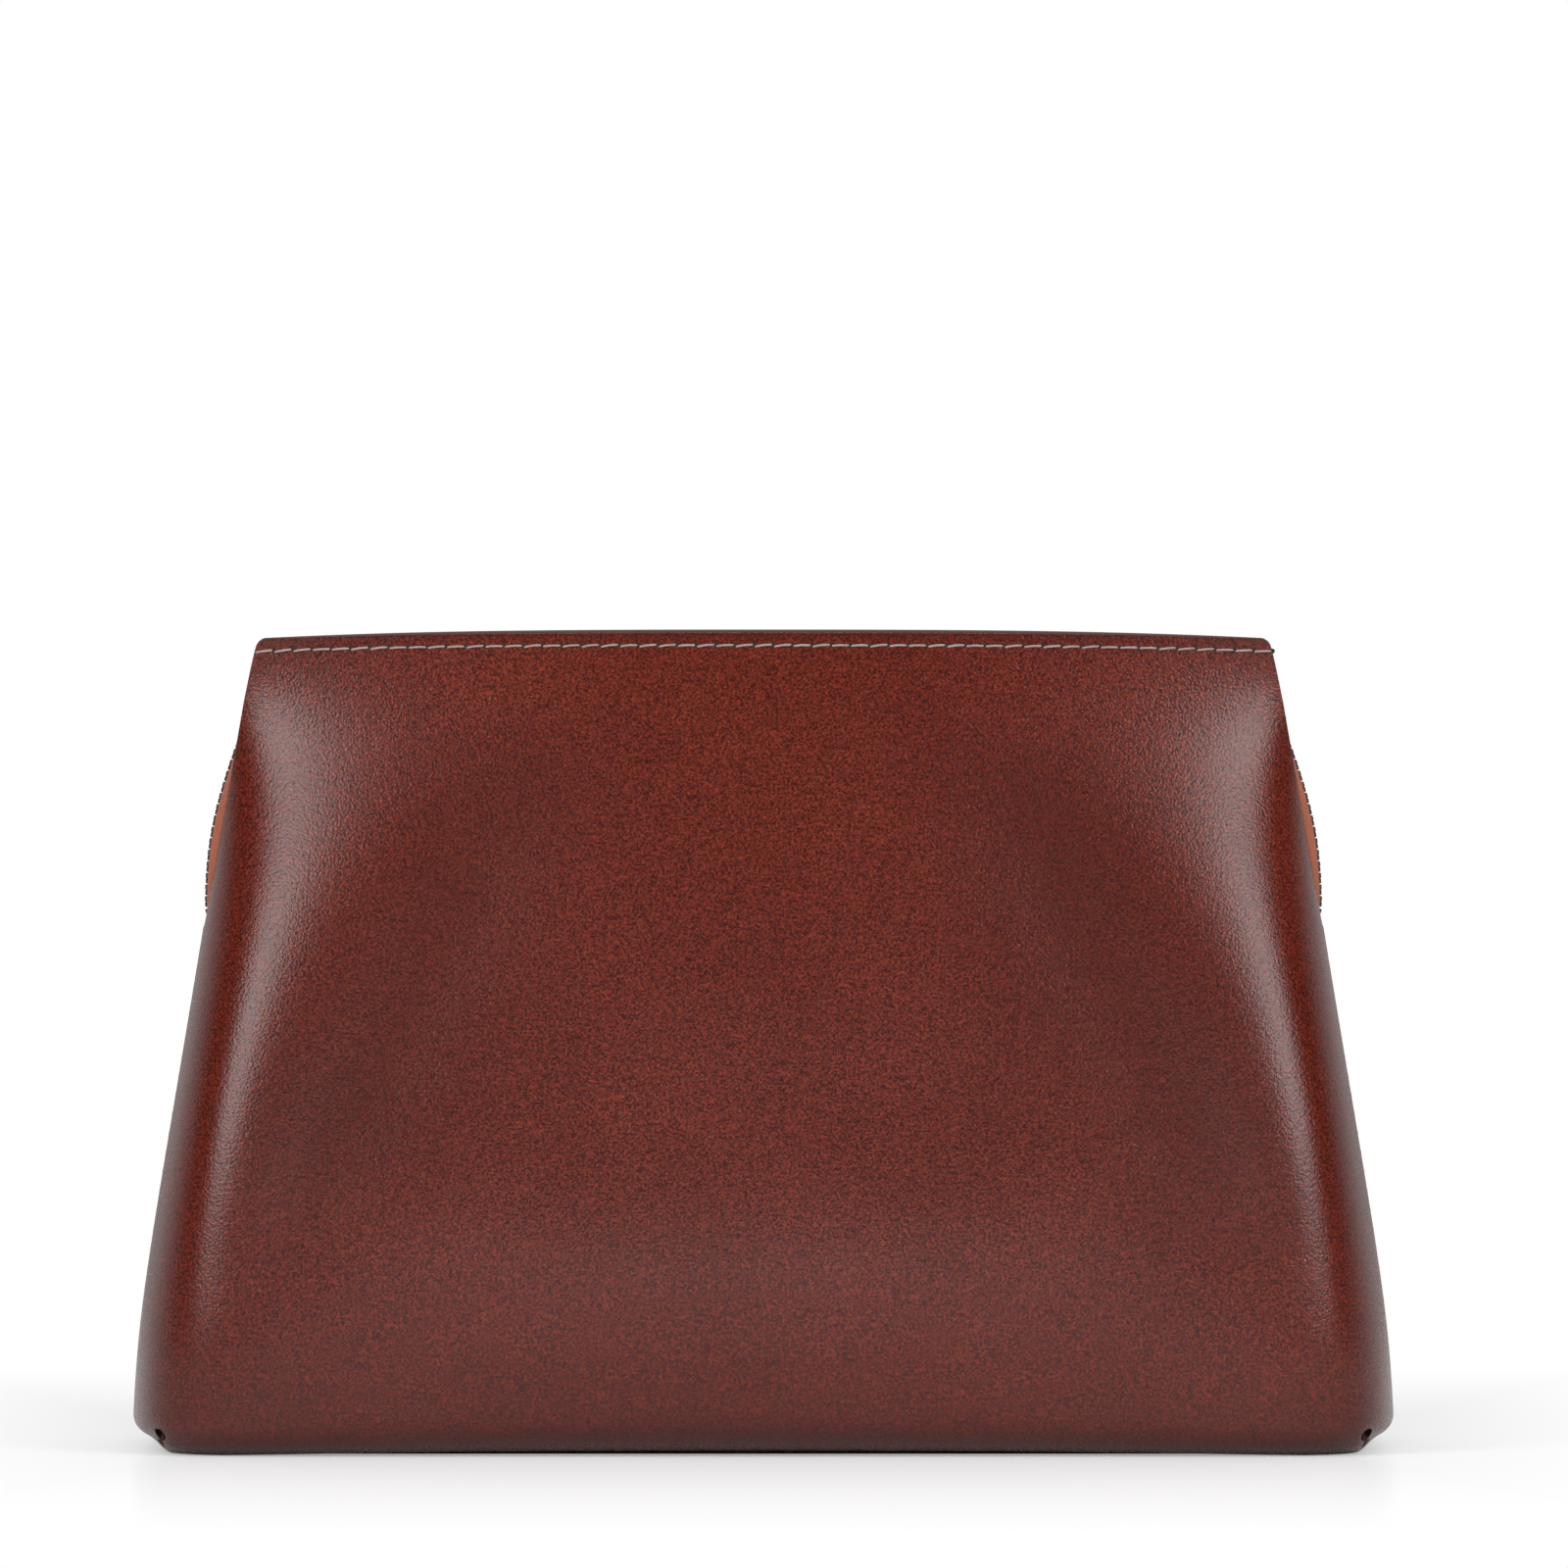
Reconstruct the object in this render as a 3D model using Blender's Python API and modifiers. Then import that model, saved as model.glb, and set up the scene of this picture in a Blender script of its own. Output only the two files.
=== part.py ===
"""A small top-zip shoulder bag in smooth brown leather, as separate sewn and metal pieces.

Frame: origin at the middle of the underside, +X along the width, -Y the front panel, +Z up.
"""

import math

import bmesh
import bpy
import numpy as np
from mathutils import Matrix, Vector

mm = 0.001

# Leather body
body_height = 170.3 * mm
corner_drop = 1.8 * mm
base_half_width = 132.1 * mm
side_taper = 0.176
taper_start = 20 * mm
taper_blend = 20 * mm
base_half_depth = 47 * mm
mouth_half_depth = 8.5 * mm
upright_height = 20 * mm
leather = 1.6 * mm
bottom_turn = 6 * mm
base_flange = 6 * mm
gap = 0.3 * mm
seam_half_gap = 0.2 * mm

# How square the plan of the body is, low down and at the mouth
front_flatness_low = 14
front_flatness_high = 6
side_roundness = 2.6

# Slot that the zip comes through at both sides, measured down from the mouth
slot_length = 62.3 * mm
slot_inset = 2 * mm
slot_end_round = 4 * mm

# Lining and board
lining_thick = 0.6 * mm
lining_mouth_drop = 12 * mm
lining_end_drop = 24.3 * mm
lining_floor_round = 6 * mm
lining_slot_beyond = 5.3 * mm
lining_slot_below = 7 * mm
board_thick = 1.5 * mm
board_inset = 5 * mm

# Zip chain and tapes
zip_recess = 8.3 * mm
zip_side_drop = 23.3 * mm
zip_bulge = 2.2 * mm
zip_dive = 2.6 * mm
zip_dive_start = 6 * mm
zip_dive_length = 7 * mm
zip_tail = 4 * mm
tooth_pitch = 2.4 * mm
tooth_thick = 2.2 * mm
tooth_reach = 0.7 * mm
tooth_slack = 0.23 * mm
chain_half_width = 2.9 * mm
tape_thick = 0.6 * mm
tape_rise = 4.6 * mm
tape_tuck = 5.2 * mm
tape_tuck_in = 1.2 * mm
tape_edge_back = 0.7 * mm
tape_clearance = 0.5 * mm
stop_length = 2.5 * mm

# Sliders: the throat is where the two rows of teeth come together
slider_start = 1 * mm
slider_length = 11.5 * mm
slider_plate = 1.2 * mm
slider_rim = 0.8 * mm
slider_play = 0.2 * mm
throat_length = 6.8 * mm
parting = 1.9 * mm
wedge_length = 3.6 * mm
bridge_width = 1.6 * mm
bridge_length = 7 * mm
bridge_height = 2.9 * mm
bridge_wall = 0.9 * mm
pivot_from_nose = 7 * mm

# Pulls
link_wire = 0.45 * mm
link_length = 10 * mm
link_flare = 5.5 * mm
link_corner = 0.7 * mm
link_lift = 0.15 * mm
pull_half_width = 4 * mm
pull_leather = 1.1 * mm
pull_length = 30 * mm
pull_neck = 2 * mm

# Strap rings and their loops on the rear panel
ring_x = 72 * mm
ring_wire = 1.5 * mm
ring_side_play = 1 * mm
ring_depth = 13 * mm
ring_rest_gap = 0.5 * mm
loop_leather = 1.2 * mm
loop_width = 14 * mm
loop_length = 18 * mm
loop_standoff = 0.55 * mm

# Places worked out from the sizes above
slot_bottom = body_height - slot_length
slot_half = mouth_half_depth - slot_inset
zip_level = body_height - zip_recess
zip_side_top = body_height - zip_side_drop
board_low = leather + gap
lining_floor = board_low + board_thick + gap
ring_bar_height = body_height - loop_length - gap

for old_object in list(bpy.data.objects):
    bpy.data.objects.remove(old_object, do_unlink=True)

bag_collection = bpy.data.collections.new("crossbody_bag")
cutter_collection = bpy.data.collections.new("cutters")
bpy.context.scene.collection.children.link(bag_collection)
bpy.context.scene.collection.children.link(cutter_collection)


def material(name, colour, roughness, metallic=0.0):
    """A plain finish under its own name."""
    made = bpy.data.materials.new(name)
    made.use_nodes = True
    shader = made.node_tree.nodes["Principled BSDF"]
    shader.inputs["Base Color"].default_value = (*colour, 1)
    shader.inputs["Roughness"].default_value = roughness
    shader.inputs["Metallic"].default_value = metallic
    return made


brown_leather = material("brown_leather", (0.09, 0.028, 0.020), 0.42)
trim_leather = material("trim_leather", (0.075, 0.024, 0.018), 0.45)
tan_tape = material("tan_tape", (0.42, 0.14, 0.08), 0.85)
dark_teeth = material("dark_teeth", (0.05, 0.04, 0.04), 0.35, 1.0)
gunmetal = material("gunmetal", (0.12, 0.11, 0.11), 0.3, 1.0)
lining_cloth = material("lining_cloth", (0.16, 0.10, 0.07), 0.9)
grey_board = material("grey_board", (0.28, 0.26, 0.24), 0.9)


def add_mesh(name, points, faces, finish, collection=bag_collection):
    """A named object from points and faces, smooth where its faces nearly line up."""
    mesh = bpy.data.meshes.new(name)
    mesh.from_pydata([tuple(point) for point in points], [], faces)
    mesh.update()
    mesh.shade_smooth()
    mesh.set_sharp_from_angle(angle=math.radians(35))
    made = bpy.data.objects.new(name, mesh)
    collection.objects.link(made)
    if finish:
        made.data.materials.append(finish)
    return made


def add_cutter(name, points, faces):
    """A shape that only cuts or joins another, hidden from the render."""
    made = face_out(add_mesh(name, points, faces, None, cutter_collection))
    made.hide_render = True
    made.display_type = "WIRE"
    return made


def combine(target, others, operation):
    """Boolean steps on the target, one for each other shape."""
    for other in others:
        step = target.modifiers.new(operation.lower(), "BOOLEAN")
        step.operation = operation
        step.solver = "EXACT"
        step.object = other


def prism(outline, low, high, place):
    """Points and faces of a flat outline made thick; place turns (a, b, level) into a point."""
    count = len(outline)
    points = [place(a, b, level) for level in (low, high) for a, b in outline]
    faces = [list(range(count))[::-1], list(range(count, 2 * count))]
    for i in range(count):
        j = (i + 1) % count
        faces.append([i, j, j + count, i + count])
    return points, faces


def face_out(made):
    """Turns every face of a closed mesh outwards."""
    work = bmesh.new()
    work.from_mesh(made.data)
    bmesh.ops.recalc_face_normals(work, faces=work.faces)
    work.to_mesh(made.data)
    work.free()
    return made


def smooth_step(share):
    """From 0 to 1 with level ends."""
    share = min(1.0, max(0.0, share))
    return share * share * (3 - 2 * share)


# Outer form of the body


def side_half_width(z):
    """Half the width of the bag at a height, measured at the middle of its sides."""
    rise = z - taper_start
    return base_half_width - side_taper * (math.hypot(rise, taper_blend) + rise) / 2


def half_depth(z):
    """Half the depth at the middle of the panel: upright low down, then leaning in to the mouth."""
    lean = max(0.0, (z - upright_height) / (body_height - upright_height))
    return base_half_depth - (base_half_depth - mouth_half_depth) * lean**1.5


def front_flatness(z):
    """The exponent that keeps the front flat up to its corners, which soften towards the mouth."""
    fall = 1 - min(1.0, max(0.0, z / body_height))
    return front_flatness_high + (front_flatness_low - front_flatness_high) * fall**3


def slot_edge(z, half, bottom):
    """Where a sheet's side edge stands, as a distance from the middle of the side."""
    if z <= bottom:
        return seam_half_gap
    rise = min(1.0, (z - bottom) / slot_end_round)
    return max(seam_half_gap, half * math.sqrt(1 - (1 - rise) ** 2))


def plan_width_limit(z, inset=0.0):
    """Half width of the plan's full curve, which puts the slot's edges on the silhouette."""
    share = 1 - (slot_half / half_depth(z)) ** side_roundness
    return side_half_width(z) / share ** (1 / front_flatness(z)) - inset


def plan_depth(x, z, inset=0.0):
    """Distance from the middle plane to the body's surface at x and z, with an inset."""
    share = 1 - (abs(x) / plan_width_limit(z, inset)) ** front_flatness(z)
    return (half_depth(z) - inset) * max(share, 0.0) ** (1 / side_roundness)


def plan_half_width(y, z, inset=0.0):
    """Distance from the middle to the body's side surface at y and z, with an inset."""
    share = 1 - (abs(y) / (half_depth(z) - inset)) ** side_roundness
    return plan_width_limit(z, inset) * max(share, 0.0) ** (1 / front_flatness(z))


def ray_to_plan(angle, flatness):
    """How far a ray in the unit plan runs before it meets the plan's curve, by bisection."""
    low, high = 0.5, 1.5
    for _ in range(40):
        middle = (low + high) / 2
        across = (middle * math.cos(angle)) ** flatness
        inside = across + (middle * math.sin(angle)) ** side_roundness < 1
        low, high = (middle, high) if inside else (low, middle)
    return low


def half_row(z, inset, edge, counts):
    """Points of one row, from the middle of the front round the corner to the side edge."""
    flats, turns, sides = counts
    flatness = front_flatness(z)
    width = plan_width_limit(z, inset)
    depth = half_depth(z) - inset
    x_flat = width * 0.06 ** (1 / flatness)
    y_side = max(depth * 0.3 ** (1 / side_roundness), edge + (depth - edge) / 4)
    row = []
    for i in range(flats):
        x = x_flat * i / flats
        row.append((x, plan_depth(x, z, inset)))
    start = math.atan2(plan_depth(x_flat, z, inset) / depth, x_flat / width)
    end = math.atan2(y_side / depth, plan_half_width(y_side, z, inset) / width)
    for i in range(turns + 1):
        angle = start + (end - start) * i / turns
        reach = ray_to_plan(angle, flatness)
        row.append((width * reach * math.cos(angle), depth * reach * math.sin(angle)))
    for i in range(1, sides + 1):
        y = y_side + (edge - y_side) * i / sides
        row.append((plan_half_width(y, z, inset), y))
    return row


def level_row(z, inset, edge, counts):
    """A row at one height."""
    return [(x, y, z) for x, y in half_row(z, inset, edge, counts)]


def half_shell(name, rows, finish, thick, back):
    """An open sheet through rows of points mirrored to both sides, made thick inwards."""
    points = []
    for row in rows:
        full = [(-x, y, z) for x, y, z in reversed(row[1:])] + list(row)
        points += [(x, y if back else -y, z) for x, y, z in full]
    wide = 2 * len(rows[0]) - 1
    faces = []
    for i in range(len(rows) - 1):
        for j in range(wide - 1):
            a = i * wide + j
            quad = [a, a + 1, a + 1 + wide, a + wide]
            faces.append(quad[::-1] if back else quad)
    made = add_mesh(name, points, faces, finish)
    wall = made.modifiers.new("wall", "SOLIDIFY")
    wall.thickness = thick
    wall.offset = -1
    wall.use_even_offset = True
    return made


# Leather panels: each turns under at the base and stops at the side seam or the zip slot

panel_counts = (4, 5, 3)
turn_rows = 4


def top_edge(x):
    """Height of the panel's top edge, a little lower at its ends."""
    return body_height - corner_drop * (abs(x) / side_half_width(body_height)) ** 3


def panel_rows():
    """Every row of a leather panel, bottom to top."""
    rows = [level_row(0.0, bottom_turn + base_flange, seam_half_gap, panel_counts)]
    for i in range(turn_rows + 1):
        angle = math.radians(90 * i / turn_rows)
        inset = bottom_turn * (1 - math.sin(angle))
        rows.append(level_row(bottom_turn * (1 - math.cos(angle)), inset, seam_half_gap, panel_counts))
    wall = list(np.linspace(upright_height, slot_bottom, 5))
    slot_end = [slot_bottom + slot_end_round * share for share in (0.12, 0.45, 1)]
    upper = list(np.linspace(slot_end[-1], body_height, 5)[1:-1])
    for z in wall + slot_end + upper:
        rows.append(level_row(z, 0.0, slot_edge(z, slot_half, slot_bottom), panel_counts))
    crest = half_row(body_height - corner_drop / 2, 0.0, slot_half, panel_counts)
    rows.append([(x, y, top_edge(x)) for x, y in crest])
    return rows


for panel_name, is_back in (("front_panel", False), ("rear_panel", True)):
    half_shell(panel_name, panel_rows(), brown_leather, leather, is_back)


# Base panel, between the panels' turned edges, and the stiff board on it


def flat_plate(name, low, high, inset, finish):
    """A plate with the plan of the body's underside."""
    quarter = half_row(0.0, inset, 0.0, (3, 4, 2))
    front = [(-x, -y) for x, y in reversed(quarter[1:])] + [(x, -y) for x, y in quarter]
    rear = [(x, y) for x, y in reversed(quarter[:-1])] + [(-x, y) for x, y in quarter[1:-1]]
    points, faces = prism(front + rear, low, high, lambda a, b, level: (a, b, level))
    return face_out(add_mesh(name, points, faces, finish))


flat_plate("base_panel", 0.0, leather, bottom_turn + base_flange + gap, brown_leather)
flat_plate("base_board", board_low, board_low + board_thick, bottom_turn + board_inset, grey_board)


# Lining: two halves, open at the mouth, on the inner faces of the panels

lining_counts = (3, 3, 2)


def lining_rows():
    """Rows of one lining half, from the middle of its floor up to its mouth."""
    inset = leather + gap
    slot_low = slot_bottom - lining_slot_below
    half = slot_half + lining_slot_beyond
    end_height = body_height - lining_end_drop
    round_off = lining_floor_round
    first = level_row(lining_floor, inset + round_off, seam_half_gap, lining_counts)
    rows = [[(0.9 * x, seam_half_gap, z) for x, y, z in first], first]
    rows.append(level_row(lining_floor + round_off / 4, inset + round_off / 4, seam_half_gap, lining_counts))
    wall = list(np.linspace(lining_floor + round_off, slot_low, 4))
    slot_end = [slot_low + slot_end_round * share for share in (0.15, 0.5, 1)]
    upper = list(np.linspace(slot_end[-1], end_height, 4)[1:-1])
    for z in wall + slot_end + upper:
        rows.append(level_row(z, inset, slot_edge(z, half, slot_low), lining_counts))
    crest = half_row(end_height, inset, half, lining_counts)
    rise = lining_end_drop - lining_mouth_drop
    top_row = []
    for x, _ in crest[:-1]:
        z = end_height + rise * (1 - (x / crest[-1][0]) ** 4)
        top_row.append((x, plan_depth(x, z, inset), z))
    top_row.append((*crest[-1], end_height))
    return rows + [top_row]


for lining_name, is_back in (("lining_front", False), ("lining_rear", True)):
    half_shell(lining_name, lining_rows(), lining_cloth, lining_thick, is_back)


# Zip: the chain runs level under the mouth, round each corner and down the side, proud of the
# leather, then dives under it at the slot's lower end


def zip_outer_x(z):
    """Outer face of the chain at the side of the bag."""
    down = (zip_side_top - z) / (zip_side_top - slot_bottom)
    dive = zip_dive * smooth_step((slot_bottom + zip_dive_start - z) / zip_dive_length)
    return side_half_width(z) + zip_bulge * math.sin(math.pi * down) - dive


def zip_route():
    """The chain's middle line for x > 0, the length at each point, and where its bend starts."""
    heights = np.linspace(zip_side_top, slot_bottom - zip_tail, 60)
    outer = np.array([[zip_outer_x(z), z] for z in heights])
    along = np.gradient(outer, axis=0)
    along /= np.linalg.norm(along, axis=1)[:, None]
    outward = np.stack([-along[:, 1], along[:, 0]], axis=1)
    side = outer - outward * tooth_thick / 2
    lean = math.atan2(along[0, 0], -along[0, 1])
    radius = (zip_level - side[0, 1]) / (1 - math.sin(lean))
    bend_x = side[0, 0] - radius * math.cos(lean)
    straight = [[x, zip_level] for x in np.linspace(0, bend_x, 40)[:-1]]
    bend = []
    for angle in np.linspace(math.pi / 2, lean, 24)[:-1]:
        rise = radius * (math.sin(angle) - 1)
        bend.append([bend_x + radius * math.cos(angle), zip_level + rise])
    points = np.array(straight + bend + side.tolist())
    steps = np.linalg.norm(np.diff(points, axis=0), axis=1)
    return points, np.concatenate([[0], np.cumsum(steps)]), bend_x


route_points, route_lengths, straight_end = zip_route()
route_total = route_lengths[-1]


def route_point(length):
    """Place on the chain's middle line, for a length of 0 or more."""
    x = np.interp(length, route_lengths, route_points[:, 0])
    z = np.interp(length, route_lengths, route_points[:, 1])
    return np.array([x, z])


def route_at(length):
    """Place and outward normal on the chain's middle line, mirrored for negative lengths."""
    sign = -1 if length < 0 else 1
    here = min(abs(length), route_total)
    x, z = route_point(here)
    ahead = route_point(min(here + 1 * mm, route_total)) - route_point(max(here - 1 * mm, 0.0))
    ahead /= np.linalg.norm(ahead)
    return sign * x, z, -sign * ahead[1], ahead[0]


def parted(length):
    """How far each row of teeth is pushed aside inside and between the two sliders."""
    return parting * smooth_step((slider_start + throat_length - abs(length)) / throat_length)


def strip(name, stations, section, finish):
    """A closed strip: at each station the section gives its corner points in order."""
    rings = [section(station) for station in stations]
    sides = len(rings[0])
    points = [point for ring in rings for point in ring]
    faces = [list(range(sides))[::-1], list(range(len(points) - sides, len(points)))]
    for start in range(0, len(points) - sides, sides):
        for i in range(sides):
            j = (i + 1) % sides
            faces.append([start + i, start + j, start + sides + j, start + sides + i])
    return face_out(add_mesh(name, points, faces, finish))


def teeth_section(side, shift):
    """The section of one row of teeth, whose inner edge zigzags along the chain."""

    def section(station):
        x, z, out_x, out_z = route_at(station * tooth_pitch / 2)
        aside = parted(station * tooth_pitch / 2)
        swing = tooth_reach if (station + shift) % 2 == 0 else -tooth_reach
        inner = side * (tooth_slack - swing + aside)
        outer = side * (chain_half_width + aside)
        half = tooth_thick / 2
        corners = ((inner, -half), (outer, -half), (outer, half), (inner, half))
        return [(x + out_x * level, y, z + out_z * level) for y, level in corners]

    return section


half_pitches = math.floor(route_total / (tooth_pitch / 2))
tooth_stations = range(-half_pitches, half_pitches + 1)
strip("zip_teeth_front", tooth_stations, teeth_section(-1, 0), dark_teeth)
strip("zip_teeth_rear", tooth_stations, teeth_section(1, 1), dark_teeth)


def tape_line(length):
    """The tape's middle line across its width: beside the teeth, at its fold and at its sewn edge.

    On top the fold lies inside the panel and the sewn edge stands up it. Down the sides both lie
    under the panel's wing. The bend between them blends the two. The last value is the share of
    the tape's thickness that faces the panel.
    """
    x, z, out_x, out_z = route_at(length)
    sign = -1 if length < 0 else 1
    on_top = smooth_step((out_z - 0.34) / 0.5)
    inset = leather + gap + tape_thick
    under_wing = min(side_half_width(z) - inset - abs(x), 0.0)
    fold_x = x + (1 - on_top) * sign * under_wing
    fold_y = on_top * (plan_depth(x, z, inset) - tape_clearance)
    fold_y += (1 - on_top) * (slot_half - tape_edge_back)
    sewn_x = on_top * (x + out_x * tape_rise * on_top)
    sewn_x += (1 - on_top) * (fold_x - sign * (1 - on_top) * tape_tuck_in)
    sewn_z = z + out_z * tape_rise * on_top
    sewn_y = min(plan_depth(sewn_x, sewn_z, inset) - gap, fold_y + tape_tuck)
    beside = chain_half_width + gap + parted(length)
    line = [(x, beside, z), (fold_x, fold_y, z), (sewn_x, sewn_y, sewn_z)]
    return line, (0.0, 0.7 * on_top, on_top)


def tape_section(side):
    """The section of a tape, its middle line made thick."""

    def section(length):
        _, _, out_x, out_z = route_at(length)
        lower, upper = [], []
        line, turns = tape_line(length)
        for place, turn in zip(line, turns):
            lift = Vector((out_x * (1 - turn), -turn, out_z * (1 - turn))).normalized() * tape_thick / 2
            lower.append(Vector(place) - lift)
            upper.append(Vector(place) + lift)
        return [(point.x, side * point.y, point.z) for point in lower + upper[::-1]]

    return section


near_stations = [0.0, slider_start, 3 * mm, 5 * mm, 8 * mm, 30 * mm, 60 * mm]
half_stations = near_stations + list(np.linspace(straight_end, route_total, 18))
tape_stations = [-length for length in reversed(half_stations[1:])] + half_stations
strip("zip_tape_front", tape_stations, tape_section(-1), tan_tape)
strip("zip_tape_rear", tape_stations, tape_section(1), tan_tape)


def stop_section(length):
    """A metal stop that bridges both rows of teeth just past the end of the chain."""
    sign = -1 if length < 0 else 1
    x, z, out_x, out_z = route_at(route_total)
    past = abs(length) - route_total
    x, z = x + out_z * past, z - out_x * past
    half = tooth_thick / 2
    corners = ((-1, -half), (1, -half), (1, half), (-1, half))
    return [(sign * (x + out_x * level), y * chain_half_width, z + out_z * level) for y, level in corners]


for end_name, sign in (("left", -1), ("right", 1)):
    reach = [sign * (route_total + gap), sign * (route_total + gap + stop_length)]
    strip(f"zip_stop_{end_name}", reach, stop_section, gunmetal)


# Sliders: two plates joined by a wedge, rims that hold the teeth, and a bridge for the pull

channel_half = tooth_thick / 2 + gap
rim_level = tape_thick / 2 + gap
slider_top = zip_level + channel_half + slider_plate
overlap = slider_plate / 3
tail_rim = slider_length - 0.9 * mm


def slider_half_width(t):
    """Half the slider's width, t from its nose: it follows the rows of teeth inside it."""
    return chain_half_width + parted(slider_start + t) + gap + slider_play + slider_rim


def plate_outline():
    """A plate's outline, with its corners cut off at the nose and tail."""
    stations = [0.0, 0.9 * mm, 2 * mm, 4 * mm, 6 * mm, 8 * mm, tail_rim, slider_length]
    halves = [slider_half_width(t) for t in stations]
    halves[0] -= 1.2 * mm
    halves[-1] -= 0.8 * mm
    near = list(zip(stations, halves))
    return near + [(t, -y) for t, y in reversed(near)]


def rim_outline(side):
    """A rim along one edge of a plate."""
    stations = [0.9 * mm, 2 * mm, 4 * mm, 6 * mm, 8 * mm, tail_rim]
    outer = [(t, side * slider_half_width(t)) for t in stations]
    inner = [(t, side * (slider_half_width(t) - slider_rim)) for t in reversed(stations)]
    return outer + inner


def wedge_outline():
    """The wedge that parts the teeth, clear of their tips all along."""
    stations = [gap, wedge_length / 2, wedge_length]
    tips = tooth_slack - tooth_reach - gap
    near = [(t, max(0.1 * mm, parted(slider_start + t) + tips)) for t in stations]
    return near + [(t, -y) for t, y in reversed(near)]


def bridge_outline():
    """The bridge seen from the side: a low arch with room for the link's bar."""
    start = pivot_from_nose - bridge_length / 2
    end = pivot_from_nose + bridge_length / 2
    foot = slider_top - overlap
    top = slider_top + bridge_height
    shoulder = 1.2 * mm
    leg = bridge_wall + 0.6 * mm
    under = top - bridge_wall
    return [
        (start, foot),
        (start, top - shoulder),
        (start + shoulder, top),
        (end - shoulder, top),
        (end, top - shoulder),
        (end, foot),
        (end - leg, foot),
        (end - leg, under - 0.4 * mm),
        (end - leg - 0.6 * mm, under),
        (start + leg + 0.6 * mm, under),
        (start + leg, under - 0.4 * mm),
        (start + leg, foot),
    ]


def make_slider(end_name, sign):
    """One slider, its nose towards the middle of the bag."""

    def flat(a, b, level):
        return sign * (slider_start + a), b, level

    def upright(a, b, level):
        return sign * (slider_start + a), level, b

    low_top = zip_level - channel_half
    high_low = zip_level + channel_half
    points, faces = prism(plate_outline(), high_low, slider_top, flat)
    slider = face_out(add_mesh(f"slider_{end_name}", points, faces, gunmetal))
    shapes = [
        ("low_plate", plate_outline(), low_top - slider_plate, low_top, flat),
        ("wedge", wedge_outline(), low_top - overlap, high_low + overlap, flat),
        ("bridge", bridge_outline(), -bridge_width / 2, bridge_width / 2, upright),
    ]
    for side, word in ((1, "rear"), (-1, "front")):
        rim = rim_outline(side)
        shapes.append((f"top_rim_{word}", rim, zip_level + rim_level, high_low + overlap, flat))
        shapes.append((f"low_rim_{word}", rim, low_top - overlap, zip_level - rim_level, flat))
    extras = []
    for word, outline, low, high, place in shapes:
        points, faces = prism(outline, low, high, place)
        extras.append(add_cutter(f"slider_{end_name}_{word}", points, faces))
    combine(slider, extras, "UNION")


# Pulls: a wire link in the slider's bridge, and a folded leather pull on its outer bar

pivot_x = slider_start + pivot_from_nose
pivot_z = slider_top + gap + link_lift + link_wire
link_inner_half = bridge_width / 2 + gap + link_wire
link_outer_half = pull_half_width + gap + link_wire


def closed_wire(name, points, radius, finish, resolution):
    """A closed ring of round wire through the points."""
    curve = bpy.data.curves.new(name, "CURVE")
    curve.dimensions = "3D"
    curve.bevel_depth = radius
    curve.bevel_resolution = resolution
    spline = curve.splines.new("POLY")
    spline.points.add(len(points) - 1)
    for point, place in zip(spline.points, points):
        point.co = (*place, 1)
    spline.use_cyclic_u = True
    made = bpy.data.objects.new(name, curve)
    bag_collection.objects.link(made)
    curve.materials.append(finish)
    return made


def rounded_loop(corners, radius, steps):
    """The corners of a loop in a plane, each rounded by an arc of a few points."""
    points = []
    for i, corner in enumerate(corners):
        here = Vector(corner)
        before = (Vector(corners[i - 1]) - here).normalized()
        after = (Vector(corners[(i + 1) % len(corners)]) - here).normalized()
        half_angle = before.angle(after) / 2
        centre = here + (before + after).normalized() * radius / math.sin(half_angle)
        back = radius / math.tan(half_angle)
        first = here + before * back - centre
        last = here + after * back - centre
        for step in range(steps + 1):
            points.append(centre + first.slerp(last, step / steps).normalized() * radius)
    return points


def circle(radius, count):
    """Points round a circle."""
    angles = [2 * math.pi * i / count for i in range(count)]
    return [(radius * math.cos(angle), radius * math.sin(angle)) for angle in angles]


def make_pull(end_name, sign):
    """The link and the leather pull of one slider, lying outwards in the mouth."""
    half_loop = [(0.0, link_inner_half), (link_flare, link_outer_half), (link_length, link_outer_half)]
    corners = [(x, -y, 0.0) for x, y in half_loop] + [(x, y, 0.0) for x, y in reversed(half_loop)]
    loop = rounded_loop(corners, link_corner, 2)
    placed = [(sign * (pivot_x + p.x), p.y, pivot_z) for p in loop]
    closed_wire(f"pull_link_{end_name}", placed, link_wire, gunmetal, 1)

    def place(a, b, level):
        return sign * (pivot_x + link_length + a), level, pivot_z + b

    hole = link_wire + gap
    fold = hole + pull_leather
    outline = []
    for i in range(9):
        angle = math.radians(75 + 210 * i / 8)
        outline.append((fold * math.cos(angle), fold * math.sin(angle)))
    neck = fold + pull_neck
    outline += [(neck, -pull_leather), (pull_length, -pull_leather)]
    outline += [(pull_length, pull_leather), (neck, pull_leather)]
    points, faces = prism(outline, -pull_half_width, pull_half_width, place)
    pull = face_out(add_mesh(f"pull_tab_{end_name}", points, faces, trim_leather))
    points, faces = prism(circle(hole, 8), -pull_half_width - gap, pull_half_width + gap, place)
    combine(pull, [add_cutter(f"pull_hole_{end_name}", points, faces)], "DIFFERENCE")


for end_name, sign in (("left", -1), ("right", 1)):
    make_slider(end_name, sign)
    make_pull(end_name, sign)


# Strap rings: each hangs in a folded leather loop sewn to the rear panel, and rests on the panel

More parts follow.
